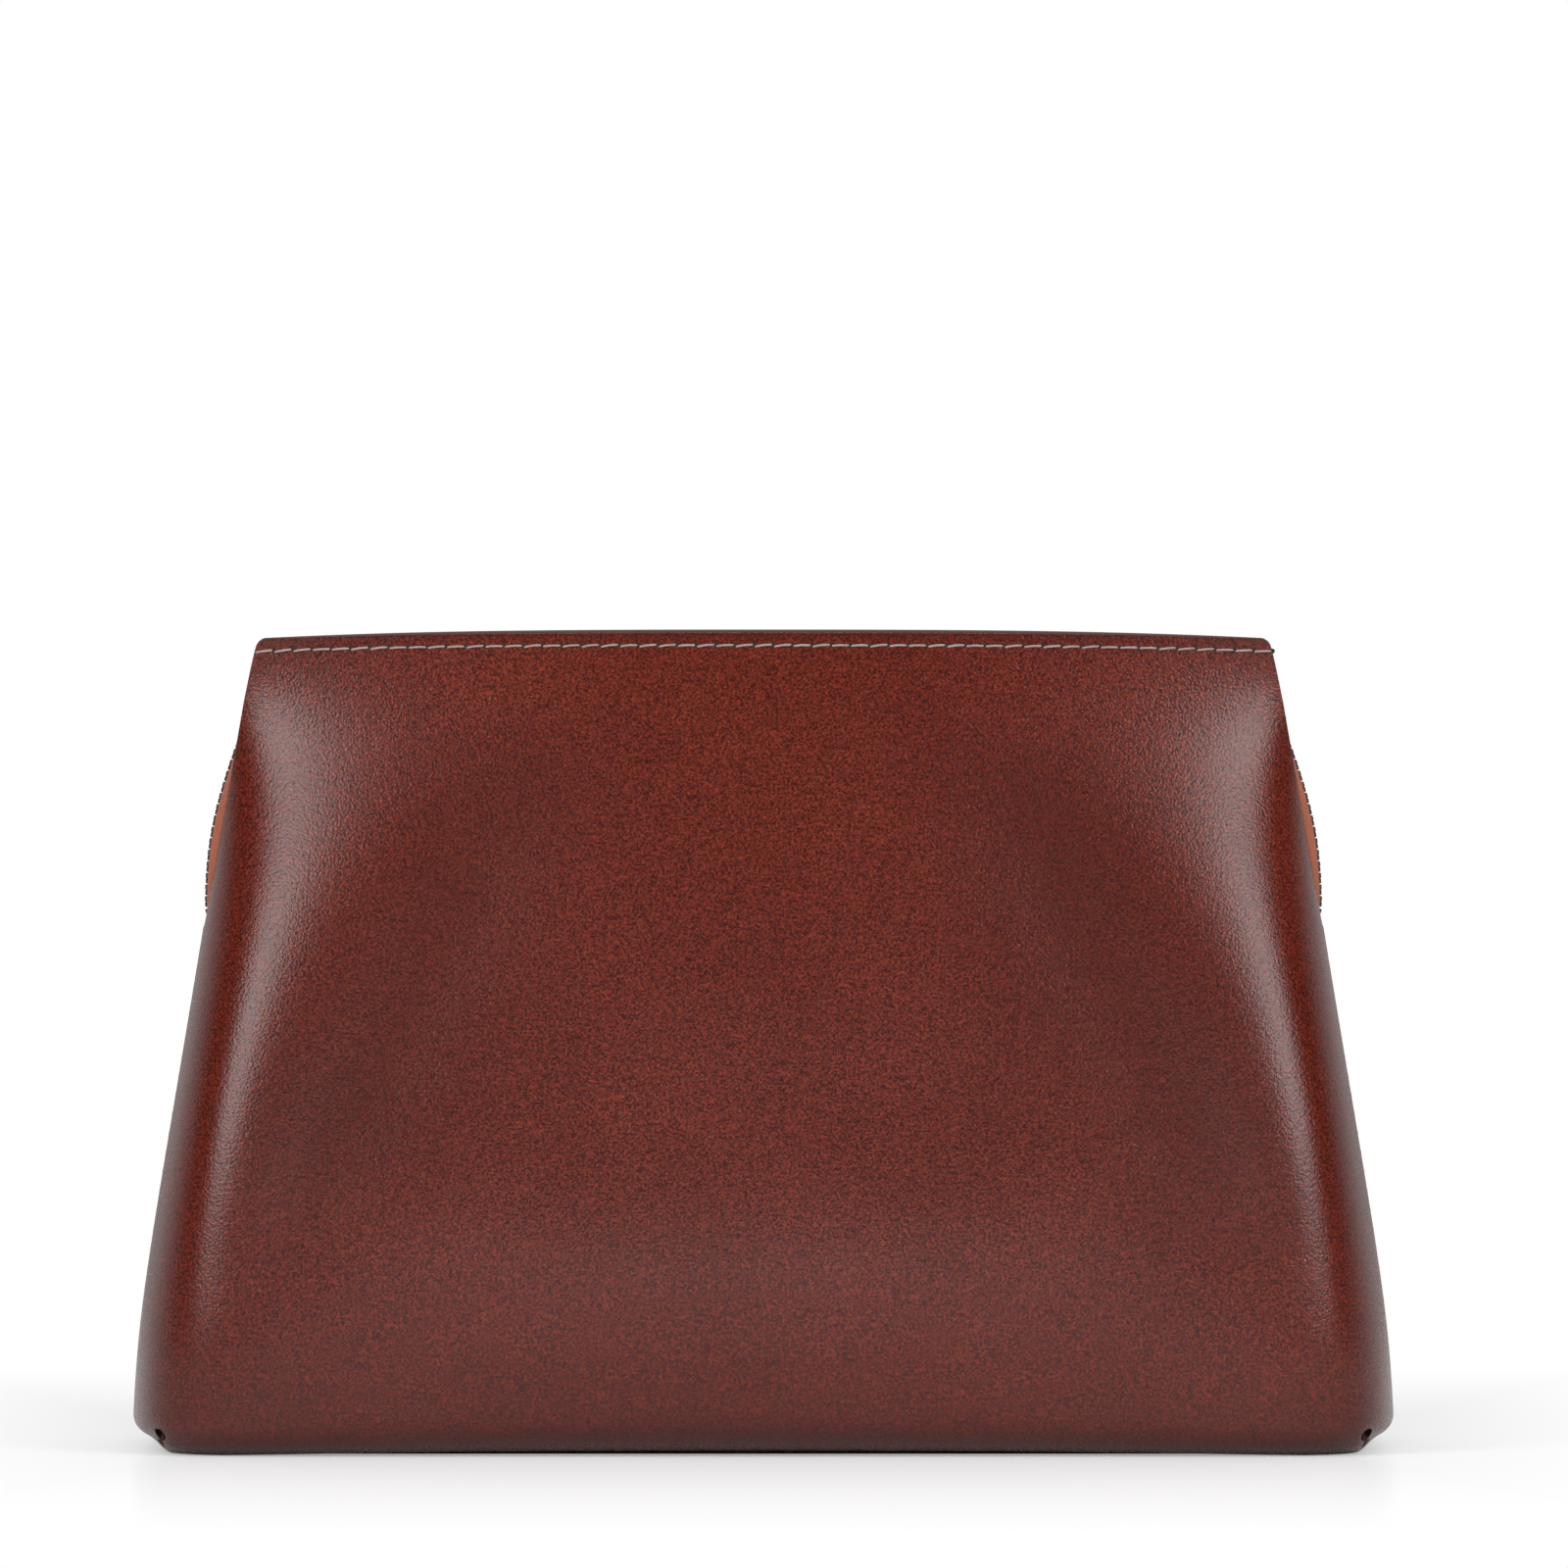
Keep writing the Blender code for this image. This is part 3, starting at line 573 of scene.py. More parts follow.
def cut_relief(panel, side):
    """Punches a small round hole at both lower corners, with a slit from it down and under."""
    inset = bottom_turn * (1 - math.sqrt(1 - (1 - relief_z / bottom_turn) ** 2))
    y = plan_depth(relief_x, relief_z, inset, side)
    turns = np.radians(np.linspace(-78, 258, 28))
    keyhole = [(relief_radius * math.cos(a), relief_radius * math.sin(a)) for a in turns]
    for end in (-1, 1):
        open_left, open_right = (slit_flare, 0.0) if end == side else (0.0, slit_flare)
        slit = (-relief_slit / 2 - open_left, relief_slit / 2 + open_right)
        feet = [(a, -slit_drop) for a in slit]
        out = Vector((end * 0.12, side * 0.90, -0.35)).normalized()
        across = Vector((0, 0, 1)).cross(out).normalized()
        up = out.cross(across)
        centre = Vector((end * relief_x, side * y, relief_z))
        points = [
            centre + across * a + up * b + out * level
            for level in (-punch_reach, punch_reach)
            for a, b in keyhole + feet
        ]
        mesh = new_mesh("punch", points, prism_faces(len(keyhole + feet)))
        mesh.materials.append(leather_edge)
        cutter = add_to_scene("punch", mesh)
        cut = panel.modifiers.new("relief", "BOOLEAN")
        cut.operation, cut.solver, cut.object = "DIFFERENCE", "EXACT", cutter
        cut.material_mode = "TRANSFER"
        keep_result(panel)
        bpy.data.objects.remove(cutter)


def mark_wear_and_shade(panel, side):
    """Where a panel is darker: rubbed along its top edge, and painted shade low down by the floor
    and in a zone beside its middle that leans in as it rises."""
    points = np.empty(len(panel.data.vertices) * 3)
    panel.data.vertices.foreach_get("co", points)
    points = points.reshape(-1, 3)
    x, z = points[:, 0], points[:, 2]
    burnish_and_low_shade = 0.7 * fading(body_height - edge_drop(x, side) - z, 1.2 * mm)
    # Painted shade low down, where the floor shades the panel's base.
    burnish_and_low_shade = burnish_and_low_shade + 0.5 * fading(z, 3.0 * mm)
    # Painted shade in a zone beside the middle, leaning in as it rises.
    shade_line = shade_zone_x + shade_zone_lean * (shade_zone_z - z)
    dark = hump(np.abs(x) - shade_line, shade_zone_spread)
    dark *= rising(z, 35 * mm, 35 * mm) * falling(z, 160 * mm, 25 * mm)
    rubbed_and_shaded = burnish_and_low_shade + 0.42 * dark + 0.7 * fading(z, 9 * mm)
    wear_and_shade = panel.data.attributes.new("wear_and_shade", "FLOAT", "POINT")
    wear_and_shade.data.foreach_set("value", np.clip(rubbed_and_shaded, 0, 1).astype(np.float32))


for panel_name, side in (("front", -1), ("rear", 1)):
    grid = drape(sheet_grid(body_levels(), panel_counts, side), side) * (1, side, 1)
    if side > 0:
        grid = grid[:, ::-1]
    panel = add_object(f"leather_{panel_name}", grid_mesh(f"leather_{panel_name}", [grid]))
    for finish in (body_leather, leather_edge, leather_back):
        panel.data.materials.append(finish)
    give_thickness(panel, leather, rim_material=1, back_material=2)
    round_edges(panel, edge_round)
    keep_result(panel)
    cut_relief(panel, side)
    mark_wear_and_shade(panel, side)
    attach(panel, "bag")
    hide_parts(f"{panel_name}_panel")

# Stitches: waxed pale thread, one short arc from hole to hole, sewn by Geometry Nodes along a line
# that carries the direction out of the leather at each of its points.


def plain_thread():
    """Waxed linen thread, twisted, a little soiled."""
    made, tree, place = new_finish("thread")
    strands = {"Vector": place, "Scale": 1500.0, "Distortion": 3.0}
    twist = add_node(tree, "ShaderNodeTexWave", strands).outputs["Fac"]
    soil = add_noise(tree, place, 160.0, 2.0)[0]
    tint = add_mix(tree, soil, (0.28, 0.19, 0.17), (0.48, 0.39, 0.37))
    colour = add_mix(tree, 1.0, tint, add_range(tree, twist, 0.62, 1.0), blend_type="MULTIPLY")
    finish_surface(made, colour, add_range(tree, soil, 0.45, 0.7), twist, 0.35, 0.08 * mm)
    return made


thread = plain_thread()
# Needle holes are dark discs on the leather: painted shade, not cut holes.
needle_hole = edge_material("needle_hole", (0.010, 0.006, 0.005), 0.8)


def geometry_tree(name, sockets):
    """A Geometry Nodes tree with named inputs, and its group input and output nodes."""
    tree = bpy.data.node_groups.new(name, "GeometryNodeTree")
    tree.interface.new_socket(name="Geometry", in_out="INPUT", socket_type="NodeSocketGeometry")
    tree.interface.new_socket(name="Geometry", in_out="OUTPUT", socket_type="NodeSocketGeometry")
    for socket_name, kind in sockets:
        tree.interface.new_socket(name=socket_name, in_out="INPUT", socket_type=f"NodeSocket{kind}")
    return tree, tree.nodes.new("NodeGroupInput").outputs, tree.nodes.new("NodeGroupOutput").inputs


def keep_vectors(mesh, name, vectors):
    """Gives a mesh a vector under a name at each of its points."""
    values = mesh.attributes.new(name, "FLOAT_VECTOR", "POINT")
    values.data.foreach_set("vector", np.array(vectors, np.float32).ravel())


def grow(made, tree, values):
    """Runs a tree on an object with values for its named inputs, and keeps the plain mesh."""
    step = made.modifiers.new(tree.name, "NODES")
    step.node_group = tree
    for item in tree.interface.items_tree:
        if item.in_out == "INPUT" and item.name in values:
            step[item.identifier] = values[item.name]
    return keep_result(made)


def turned_along(tree, along, out):
    """A rotation that lays x along a line and stands z out of its surface."""
    laid = add_step(tree, "FunctionNodeAlignRotationToVector", {"Vector": along}, axis="X")
    upward = {"Rotation": laid, "Vector": out}
    return add_step(tree, "FunctionNodeAlignRotationToVector", upward, axis="Z", pivot_axis="X")


def add_vector(tree, **parts):
    """A vector from those of its parts that aren't 0."""
    return add_step(tree, "ShaderNodeCombineXYZ", parts)


def named_value(tree, name, kind="FLOAT_VECTOR"):
    """What the mesh holds under a name at each place."""
    return add_step(tree, "GeometryNodeInputNamedAttribute", {"Name": name}, data_type=kind)


def stitch_row_tree():
    """Arcs of thread, and at their needle holes dark discs of painted shade, along a line of points
    that carry an out direction.
    """
    floats = ("Pitch", "Thread", "Hole", "Sink", "Slant", "Play")
    sockets = [(name, "Float") for name in floats] + [("Seed", "Int")]
    sockets += [("Thread Finish", "Material"), ("Hole Finish", "Material")]
    tree, inputs, output = geometry_tree("stitch_row", sockets)
    line = add_step(tree, "GeometryNodeMeshToCurve", {"Mesh": inputs["Geometry"]})
    pitches = {"Curve": line, "Length": inputs["Pitch"]}
    row = add_step(tree, "GeometryNodeResampleCurve", pitches, mode="LENGTH")

    reach = add_math(tree, "MULTIPLY", inputs["Pitch"], stitch_reach)
    back = add_math(tree, "MULTIPLY", reach, -1.0)
    sunk = add_math(tree, "MULTIPLY", inputs["Sink"], -1.0)
    proud = add_math(tree, "MULTIPLY_ADD", inputs["Thread"], 0.8, inputs["Sink"])
    bow = {"Resolution": 7, "Start": add_vector(tree, X=back, Z=sunk)}
    bow |= {"Middle": add_vector(tree, Z=proud), "End": add_vector(tree, X=reach, Z=sunk)}
    arc = add_step(tree, "GeometryNodeCurveQuadraticBezier", bow)
    circle = {"Resolution": 6, "Radius": add_math(tree, "MULTIPLY", inputs["Thread"], 0.5)}
    section = add_step(tree, "GeometryNodeCurvePrimitiveCircle", circle)
    swept = {"Curve": arc, "Profile Curve": section, "Fill Caps": True}
    strand = add_step(tree, "GeometryNodeCurveToMesh", swept)

    # A dark disc between stitches: the needle hole's painted shade.
    circle = {"Vertices": 8, "Radius": add_math(tree, "MULTIPLY", inputs["Hole"], 0.5)}
    disc = add_step(tree, "GeometryNodeMeshCircle", circle, fill_type="NGON")
    half_pitch = add_math(tree, "MULTIPLY", inputs["Pitch"], 0.5)
    beside = {"Geometry": disc, "Translation": add_vector(tree, X=half_pitch, Z=hole_lift)}
    mark = {"Geometry": add_step(tree, "GeometryNodeTransform", beside)}
    mark |= {"Name": "needle_hole", "Value": True}
    kept = {"data_type": "BOOLEAN", "domain": "FACE"}
    hole = add_step(tree, "GeometryNodeStoreNamedAttribute", mark, **kept)
    stitch = add_node(tree, "GeometryNodeJoinGeometry")
    for piece in (strand, hole):
        tree.links.new(piece, stitch.inputs[0])

    along = add_step(tree, "GeometryNodeInputTangent")
    level = turned_along(tree, along, named_value(tree, "out"))
    play = add_node(tree, "FunctionNodeRandomValue", {"Seed": inputs["Seed"]}, data_type="FLOAT")
    limits = [socket for socket in play.inputs if socket.type == "VALUE"]
    tree.links.new(add_math(tree, "MULTIPLY", inputs["Play"], -1.0), limits[0])
    tree.links.new(inputs["Play"], limits[1])
    drawn = next(socket for socket in play.outputs if socket.type == "VALUE")
    slant = add_vector(tree, Z=add_math(tree, "ADD", inputs["Slant"], drawn))
    turning = {"Rotation": level, "Rotate By": slant}
    slanted = add_step(tree, "FunctionNodeRotateRotation", turning, rotation_space="LOCAL")
    placing = {"Points": row, "Instance": stitch.outputs[0], "Rotation": slanted}
    sewn = add_step(tree, "GeometryNodeInstanceOnPoints", placing)
    real = add_step(tree, "GeometryNodeRealizeInstances", {"Geometry": sewn})
    smooth = add_step(tree, "GeometryNodeSetShadeSmooth", {"Geometry": real})
    finished = {"Geometry": smooth, "Material": inputs["Thread Finish"]}
    finished = {"Geometry": add_step(tree, "GeometryNodeSetMaterial", finished)}
    finished |= {"Selection": named_value(tree, "needle_hole", "BOOLEAN")}
    finished |= {"Material": inputs["Hole Finish"]}
    tree.links.new(add_step(tree, "GeometryNodeSetMaterial", finished), output["Geometry"])
    return tree


stitch_pitch = 4 * mm
stitch_reach = 0.42
hole_lift = 0.04 * mm
stitch_rows = stitch_row_tree()


def sew(name, lines, body, pitch=stitch_pitch, thread_width=0.55 * mm):
    """Stitches along lines of (point, out direction), as one piece on a body."""
    points, outs, edges = [], [], []
    for line in lines:
        start = len(points)
        points += [tuple(point) for point, _ in line]
        outs += [tuple(out) for _, out in line]
        edges += [(start + i, start + i + 1) for i in range(len(line) - 1)]
    mesh = new_mesh(name, points, edges=edges)
    keep_vectors(mesh, "out", outs)
    row = add_to_scene(name, mesh)
    values = {"Pitch": pitch, "Thread": thread_width, "Hole": 2.0 * thread_width}
    values |= {"Sink": 0.15 * mm, "Slant": 0.08, "Play": 0.06, "Seed": len(points)}
    values |= {"Thread Finish": thread, "Hole Finish": needle_hole}
    grow(row, stitch_rows, values)
    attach(row, body)


# Seams of the two panels: a row under the mouth's edge, which also holds the zip tape, a row down
# each side seam from the slot to the base, and a row underneath along the base panel.

top_row_drop = 2.6 * mm
on_tape = 0.67 * mm
side_row_inset = 2.9 * mm
side_row_sunk = 0.17 * mm
base_row_inset = 2.6 * mm
base_row_sunk = 0.22 * mm
base_row_least = 0.11 * mm


def outward(x, y, z):
    """Direction straight out of the leather at a point on it."""

    def level(x, y, z):
        across = (abs(x) / width_limit(z, 0.0, side)) ** flatness(z, side)
        return across + (abs(y) / half_depth(z)) ** side_roundness

    side = -1 if y < 0 else 1
    step = 0.05 * mm
    slope = [
        level(x + step, y, z) - level(x - step, y, z),
        level(x, y + step, z) - level(x, y - step, z),
        level(x, y, z + step) - level(x, y, z - step),
    ]
    return Vector(slope).normalized()


def top_row(side, inside=False):
    """The line of the stitches under a panel's top edge."""
    line = []
    lowered = body_height - corner_drop_start
    for x in np.linspace(-1, 1, 161) * (side_half_width(body_height) - 1.6 * mm):
        drop = edge_drop(x, side)
        z = body_height - drop - top_row_drop
        loft_z = (z * lowered - drop * corner_drop_start) / (lowered - drop)
        depth = plan_depth(x, loft_z, 0.0, side)
        out = outward(x, side * depth, z)
        point = Vector((x, side * (depth + sag(x, loft_z)), z))
        if inside:
            point, out = point - out * (leather + on_tape), -out
        line.append((point, out))
    return line


def side_row(side, end):
    """The line of the stitches down the side seam, from just under the slot."""
    line = []
    for z in np.linspace(slot_bottom - 3 * mm, 9 * mm, 60):
        y = slot_edge(z, slot_half, slot_bottom) + side_row_inset
        x = end * plan_half_width(y, z, 0.0, side)
        out = outward(x, side * y, z)
        line.append((Vector((x, side * y, z)) - out * side_row_sunk, out))
    return line


def base_row(side):
    """The line of the stitches underneath, along the turned edge of a panel."""
    inset = bottom_turn + base_flange - base_row_inset
    row = half_row(0.0, inset, seam_half_gap, (40, 20, 10), side)
    full = np.concatenate([row[:0:-1] * (-1, 1), row])
    settled = drape(np.column_stack([full, np.zeros(len(full))]), side)
    points = [Vector((x, side * y, max(z, base_row_least) + base_row_sunk)) for x, y, z in settled]
    return [(point, Vector((0, 0, -1))) for point in points]


for panel_name, side in (("front", -1), ("rear", 1)):
    seams = {"top": ([top_row(side), top_row(side, inside=True)], 0.55 * mm)}
    seams |= {"side": ([side_row(side, -1), side_row(side, 1)], 0.3 * mm)}
    seams |= {"base": ([base_row(side)], 0.4 * mm)}
    for seam, (lines, width) in seams.items():
        sew(f"{seam}_stitches_{panel_name}", lines, "bag", thread_width=width)

# Base: a leather plate between the panels' turned edges, glued and sewn to them, with a stiff
# fibre board on it inside the bag.


def board_material():
    """Pressed grey fibre board."""
    made, tree, place = new_finish("fibre_board")
    fibres = add_noise(tree, place, 700.0, 5.0)[0]
    tint = add_mix(tree, fibres, (0.16, 0.14, 0.12), (0.34, 0.31, 0.28))
    finish_surface(made, tint, add_range(tree, fibres, 0.75, 0.95), fibres, 0.3, 0.15 * mm)
    return made


fibre_board = board_material()
board_low = leather + gap
board_thick = 1.5 * mm


def base_plate(name, low, thick, inset, rounding, finish):
    """A plate with the plan of the bag's underside, its edges rounded."""
    row = half_row(0.0, inset, 0.0, (16, 20, 8))
    front = np.concatenate([row[:0:-1] * (-1, -1), row * (1, -1)])
    outline = np.concatenate([front, front[-2:0:-1] * (1, -1)])
    points = [(x, y, z) for z in (low, low + thick) for x, y in outline]
    mesh = new_mesh(name, points, prism_faces(len(outline)))
    plate = add_object(name, mesh)
    mesh.materials.append(finish)
    round_edges(plate, rounding, segments=3)
    keep_result(plate)
    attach(plate, "bag")
    return plate


sole_inset = bottom_turn + base_flange + gap
sole = base_plate("base_leather", 0.0, leather, sole_inset, 0.4 * mm, body_leather)
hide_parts("base_panel")
board_inset = bottom_turn + 5 * mm
board = base_plate("stiffener", board_low, board_thick, board_inset, 0.3 * mm, fibre_board)
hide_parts("base_board")

# Lining: plain twill in two halves, sewn together under the board and along the sides, open at the
# mouth, where its hem is caught behind the zip tape. It hangs in slack, shallow folds.

lining_thick = 0.6 * mm
lining_floor = board_low + board_thick + gap
lining_floor_round = 6 * mm
lining_mouth_drop = 12 * mm
lining_end_drop = 24.3 * mm
lining_slot_low = slot_bottom - 7 * mm
lining_slot_half = slot_half + 5.3 * mm
fold_depth = 0.9 * mm


def twill_material():
    """Tan twill with a fine diagonal rib."""
    made, tree, place = new_finish("twill")
    diagonal = {"Vector": place, "Rotation": (0, math.radians(45), 0)}
    turned = add_step(tree, "ShaderNodeMapping", diagonal)
    ribs = {"Vector": turned, "Scale": 520.0, "Distortion": 0.6}
    rib = add_node(tree, "ShaderNodeTexWave", ribs).outputs["Fac"]
    yarn = add_noise(tree, place, 1500.0, 2.0)[0]
    faded = add_noise(tree, place, 30.0, 3.0)[0]
    tint = add_mix(tree, faded, (0.15, 0.085, 0.055), (0.24, 0.15, 0.10))
    colour = add_mix(tree, 1.0, tint, add_range(tree, rib, 0.7, 1.1), blend_type="MULTIPLY")
    height = add_math(tree, "MULTIPLY_ADD", yarn, 0.5, rib)
    dull = add_range(tree, yarn, 0.75, 0.98)
    shader = finish_surface(made, colour, dull, height, 0.4, 0.12 * mm)
    shader["Sheen Weight"].default_value = 0.15
    return made


twill = twill_material()


def lining_grid(side):
    """Rows of points of one lining half, from the middle of its floor up to its mouth."""
    inset = leather + gap
    counts = (40, 16, 8)
    meet = side * seam_half_gap
    first = (lining_floor, inset + lining_floor_round, meet)
    levels = [first]
    for angle in np.radians(np.linspace(15, 90, 6)):
        z = lining_floor + lining_floor_round * (1 - math.cos(angle))
        levels.append((z, inset + lining_floor_round * (1 - math.sin(angle)), meet))
    heights = list(np.linspace(levels[-1][0], lining_slot_low, 24)[1:])
    heights += slot_rows(lining_slot_low, 0.3, 6)
    heights += list(np.linspace(heights[-1], body_height - lining_end_drop, 14)[1:])
    for z in heights:
        edge = float(slot_edge(z, lining_slot_half, lining_slot_low))
        levels.append((z, inset, meet if edge <= seam_half_gap else edge))
    grid = sheet_grid(levels, counts, side)
    middle = grid[0].copy()
    middle[:, 0] *= 0.9
    middle[:, 1] = meet
    top = heights[-1]
    rise = lining_end_drop - lining_mouth_drop
    hems = []
    for share in (0.35, 0.7, 1.0):
        hem = grid[-1].copy()
        reach = np.abs(hem[:, 0]) / np.abs(hem[0, 0])
        hem[:, 2] = top + share * rise * (1 - reach**4)
        inner = reach < 0.999
        hem[inner, 1] = plan_depth(hem[inner, 0], hem[inner, 2], inset, side)
        hems.append(hem)
    grid = np.concatenate([middle[None], grid, np.array(hems)])
    x, y, z = grid[..., 0], grid[..., 1], grid[..., 2]
    slack = np.sin(x / (9 * mm) + 1.3 * np.sin(z / (24 * mm))) * rising(z, 12 * mm, 30 * mm)
    folds = fold_depth * (0.5 + 0.5 * slack) * smooth_step(y / (14 * mm))
    return np.stack([x, y - folds * falling(z, 153 * mm, 25 * mm), z], axis=-1)


for lining_name, side in (("front", -1), ("rear", 1)):
    grid = lining_grid(side) * (1, side, 1)
    if side > 0:
        grid = grid[:, ::-1]
    name = f"twill_lining_{lining_name}"
    lining = add_object(name, grid_mesh(name, [grid]))
    lining.data.materials.append(twill)
    give_thickness(lining, lining_thick)
    keep_result(lining)
    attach(lining, "bag")
    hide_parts(f"lining_{lining_name}")

# Zip tapes: orange tan woven tape on each side of the teeth. On top a tape lies level, folds up the
# inside of its panel and is sewn under the mouth's edge. Down the sides it is tucked under the
# leather's edge. The level run opens with the sliders, so it is a piece of its own on each side.

zip_level = body_height - 8.3 * mm
zip_side_top = body_height - 23.3 * mm
zip_bulge = 2.2 * mm
zip_dive = 2.6 * mm
zip_dive_start = 4 * mm
zip_dive_length = 5 * mm
zip_tail = 4 * mm
tooth_thick = 2.2 * mm
chain_half_width = 2.9 * mm
slider_start = 1 * mm
throat_length = 6.8 * mm
parting = 1.9 * mm
tape_thick = 0.5 * mm
tape_rise = 6.2 * mm
tape_tuck = 5.2 * mm
tape_tuck_in = 1.2 * mm
tape_edge_back = 0.7 * mm
tape_clearance = 0.5 * mm
tape_fold_round = 2 * mm
tape_shoulder = 2 * mm
opened_length = 75 * mm


def zip_outer_x(z):
    """Outer face of the chain at the side of the bag."""
    down = (zip_side_top - z) / (zip_side_top - slot_bottom)
    dive = zip_dive * falling(z, slot_bottom + zip_dive_start, zip_dive_length)
    return side_half_width(z) + zip_bulge * np.sin(np.pi * down) - dive


def zip_route():
    """The chain's middle line for x > 0: level, round the corner and down the side."""
    heights = np.linspace(zip_side_top, slot_bottom - zip_tail, 60)
    outer = np.stack([zip_outer_x(heights), heights], axis=1)
    along = np.gradient(outer, axis=0)
    along /= np.linalg.norm(along, axis=1)[:, None]
    side = outer - np.stack([-along[:, 1], along[:, 0]], axis=1) * tooth_thick / 2
    lean = math.atan2(along[0, 0], -along[0, 1])
    radius = (zip_level - side[0, 1]) / (1 - math.sin(lean))
    bend_x = side[0, 0] - radius * math.cos(lean)
    straight = [[x, zip_level] for x in np.linspace(0, bend_x, 40)[:-1]]
    angles = np.linspace(math.pi / 2, lean, 24)[:-1]
    bend = [[bend_x + radius * math.cos(a), zip_level + radius * (math.sin(a) - 1)] for a in angles]
    points = np.array(straight + bend + side.tolist())
    steps = np.linalg.norm(np.diff(points, axis=0), axis=1)
    return points, np.concatenate([[0], np.cumsum(steps)])


route_points, route_lengths = zip_route()
route_total = route_lengths[-1]


def route_point(length):
    """Place on the chain's middle line, for a length of 0 or more."""
    x = np.interp(length, route_lengths, route_points[:, 0])
    return np.array([x, np.interp(length, route_lengths, route_points[:, 1])])


def route_at(length):
    """Place and outward normal on the chain's middle line, mirrored for negative lengths."""
    sign = -1 if length < 0 else 1
    here = min(abs(length), route_total)
    x, z = route_point(here)
    ahead = route_point(min(here + 1 * mm, route_total)) - route_point(max(here - 1 * mm, 0.0))
    ahead /= np.linalg.norm(ahead)
    return sign * x, z, -sign * ahead[1], ahead[0]


def parted(length):
    """How far each row of teeth is pushed aside inside and between the two sliders."""
    return parting * falling(abs(length), slider_start + throat_length, throat_length)


def tape_corners(length, side):
    """A tape's places across its width, under the teeth, at its fold and at its sewn edge, and how
    far it has turned down the side of the bag there, from 0 to 1."""
    x, z, out_x, out_z = route_at(length)
    sign = -1 if length < 0 else 1
    on_top = float(rising(out_z, 0.34, 0.5))
    inset = leather + gap + tape_thick
    under_wing = min(side_half_width(z) - inset - abs(x), 0.0)
    fold_x = x + (1 - on_top) * sign * under_wing
    fold_y = on_top * (plan_depth(x, z, inset, side) - tape_clearance)
    fold_y += (1 - on_top) * (slot_half - tape_edge_back)
    sewn_x = on_top * (x + out_x * tape_rise * on_top)
    sewn_x += (1 - on_top) * (fold_x - sign * (1 - on_top) * tape_tuck_in)
    sewn_z = z + out_z * tape_rise * on_top
    held = leather + 0.4 * mm + (1 - on_top) * 0.7 * mm
    sewn_y = plan_depth(sewn_x, sewn_z, held, side) + on_top * sag(sewn_x, sewn_z)
    sewn_y = min(sewn_y, fold_y + tape_tuck)
    beside = 1.3 * mm + parted(length)
    proud = 0.35 * mm * (1 - on_top)
    teeth = Vector((x + out_x * proud, beside, z + out_z * proud))
    fold, sewn = Vector((fold_x, fold_y, z)), Vector((sewn_x, sewn_y, sewn_z))
    return teeth, fold, sewn, smooth_step(1 - on_top / 0.4)


def tape_row(length, side):
    """Points across a tape, with its fold rounded: seven to the fold's middle and six beyond.
    Down the side of the bag it first runs level past the teeth's shanks."""
    teeth, fold, sewn, on_side = tape_corners(length, side)
    shoulder = teeth + Vector((0, tape_shoulder, 0))
    turned = (teeth.lerp(shoulder, on_side) - fold).normalized()
    before = fold + turned * min(tape_fold_round, (teeth - fold).length * 0.6)
    after = fold + (sewn - fold).normalized() * min(tape_fold_round, (sewn - fold).length * 0.6)
    row = [teeth, teeth.lerp(before, 0.33).lerp(shoulder, on_side)]
    row.append(teeth.lerp(before, 0.66).lerp(shoulder.lerp(before, 0.5), on_side))
    for share in np.linspace(0, 1, 7):
        row.append(before.lerp(fold, share).lerp(fold.lerp(after, share), share))
    return row + [after.lerp(sewn, share) for share in (0.33, 0.66, 1)]


def tape_material():
    """Woven zip tape with a fine herringbone that runs along it."""
    made, tree, place = new_finish("zip_tape")
    herringbone, yarn_pitch = 0.8 * mm, 0.45 * mm
    laid = add_step(tree, "ShaderNodeUVMap", uv_map="tape")
    split = add_node(tree, "ShaderNodeSeparateXYZ", {0: laid}).outputs
    zigzag = add_math(tree, "PINGPONG", split["X"], herringbone)
    slanted = add_math(tree, "ADD", zigzag, split["Y"])
    rib = add_math(tree, "SINE", add_math(tree, "MULTIPLY", slanted, 2 * math.pi / yarn_pitch))
    fuzz = add_noise(tree, place, 2200.0, 2.0)[0]
    faded = add_noise(tree, place, 60.0, 2.0)[0]
    tint = add_mix(tree, faded, (0.36, 0.085, 0.038), (0.50, 0.135, 0.065))
    shade = add_range(tree, rib, 0.68, 1.08, start=-1.0)
    colour = add_mix(tree, 1.0, tint, shade, blend_type="MULTIPLY")
    height = add_math(tree, "MULTIPLY_ADD", fuzz, 0.6, rib)
    dull = add_range(tree, fuzz, 0.7, 0.95)
    shader = finish_surface(made, colour, dull, height, 0.5, 0.08 * mm)
    shader["Sheen Weight"].default_value = 0.2
    return made


zip_tape = tape_material()


def tape_piece(name, side, parts):
    """Part of a tape: (first length, last length, first point, last point across) of each strip."""
    grids, maps = [], []
    for first, last, low, high in parts:
        stations = np.linspace(first, last, max(2, int(abs(last - first) / (1.4 * mm))))
        rows = [[tuple(point) for point in tape_row(length, side)[low:high]] for length in stations]
        rows = np.array(rows)
        steps = np.linalg.norm(np.diff(rows, axis=1), axis=2)
        across = np.concatenate([np.zeros((len(rows), 1)), np.cumsum(steps, axis=1)], axis=1)
        lengths = np.repeat(stations[:, None], rows.shape[1], axis=1)
        rows = rows * (1, side, 1)
        maps.append(np.stack([across, lengths], axis=-1)[:, ::side])
        grids.append(rows[:, ::side])
    mesh = grid_mesh(name, grids)
    layer = mesh.uv_layers.new(name="tape")
    corners = np.empty(len(mesh.loops), np.int32)
    mesh.loops.foreach_get("vertex_index", corners)
    values = np.concatenate([each.reshape(-1, 2) for each in maps])[corners]
    layer.data.foreach_set("uv", values.astype(np.float32).ravel())
    tape = add_object(name, mesh)
    mesh.materials.append(zip_tape)
    give_thickness(tape, tape_thick, offset=0.0)
    keep_result(tape)
    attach(tape, "bag")
    return tape


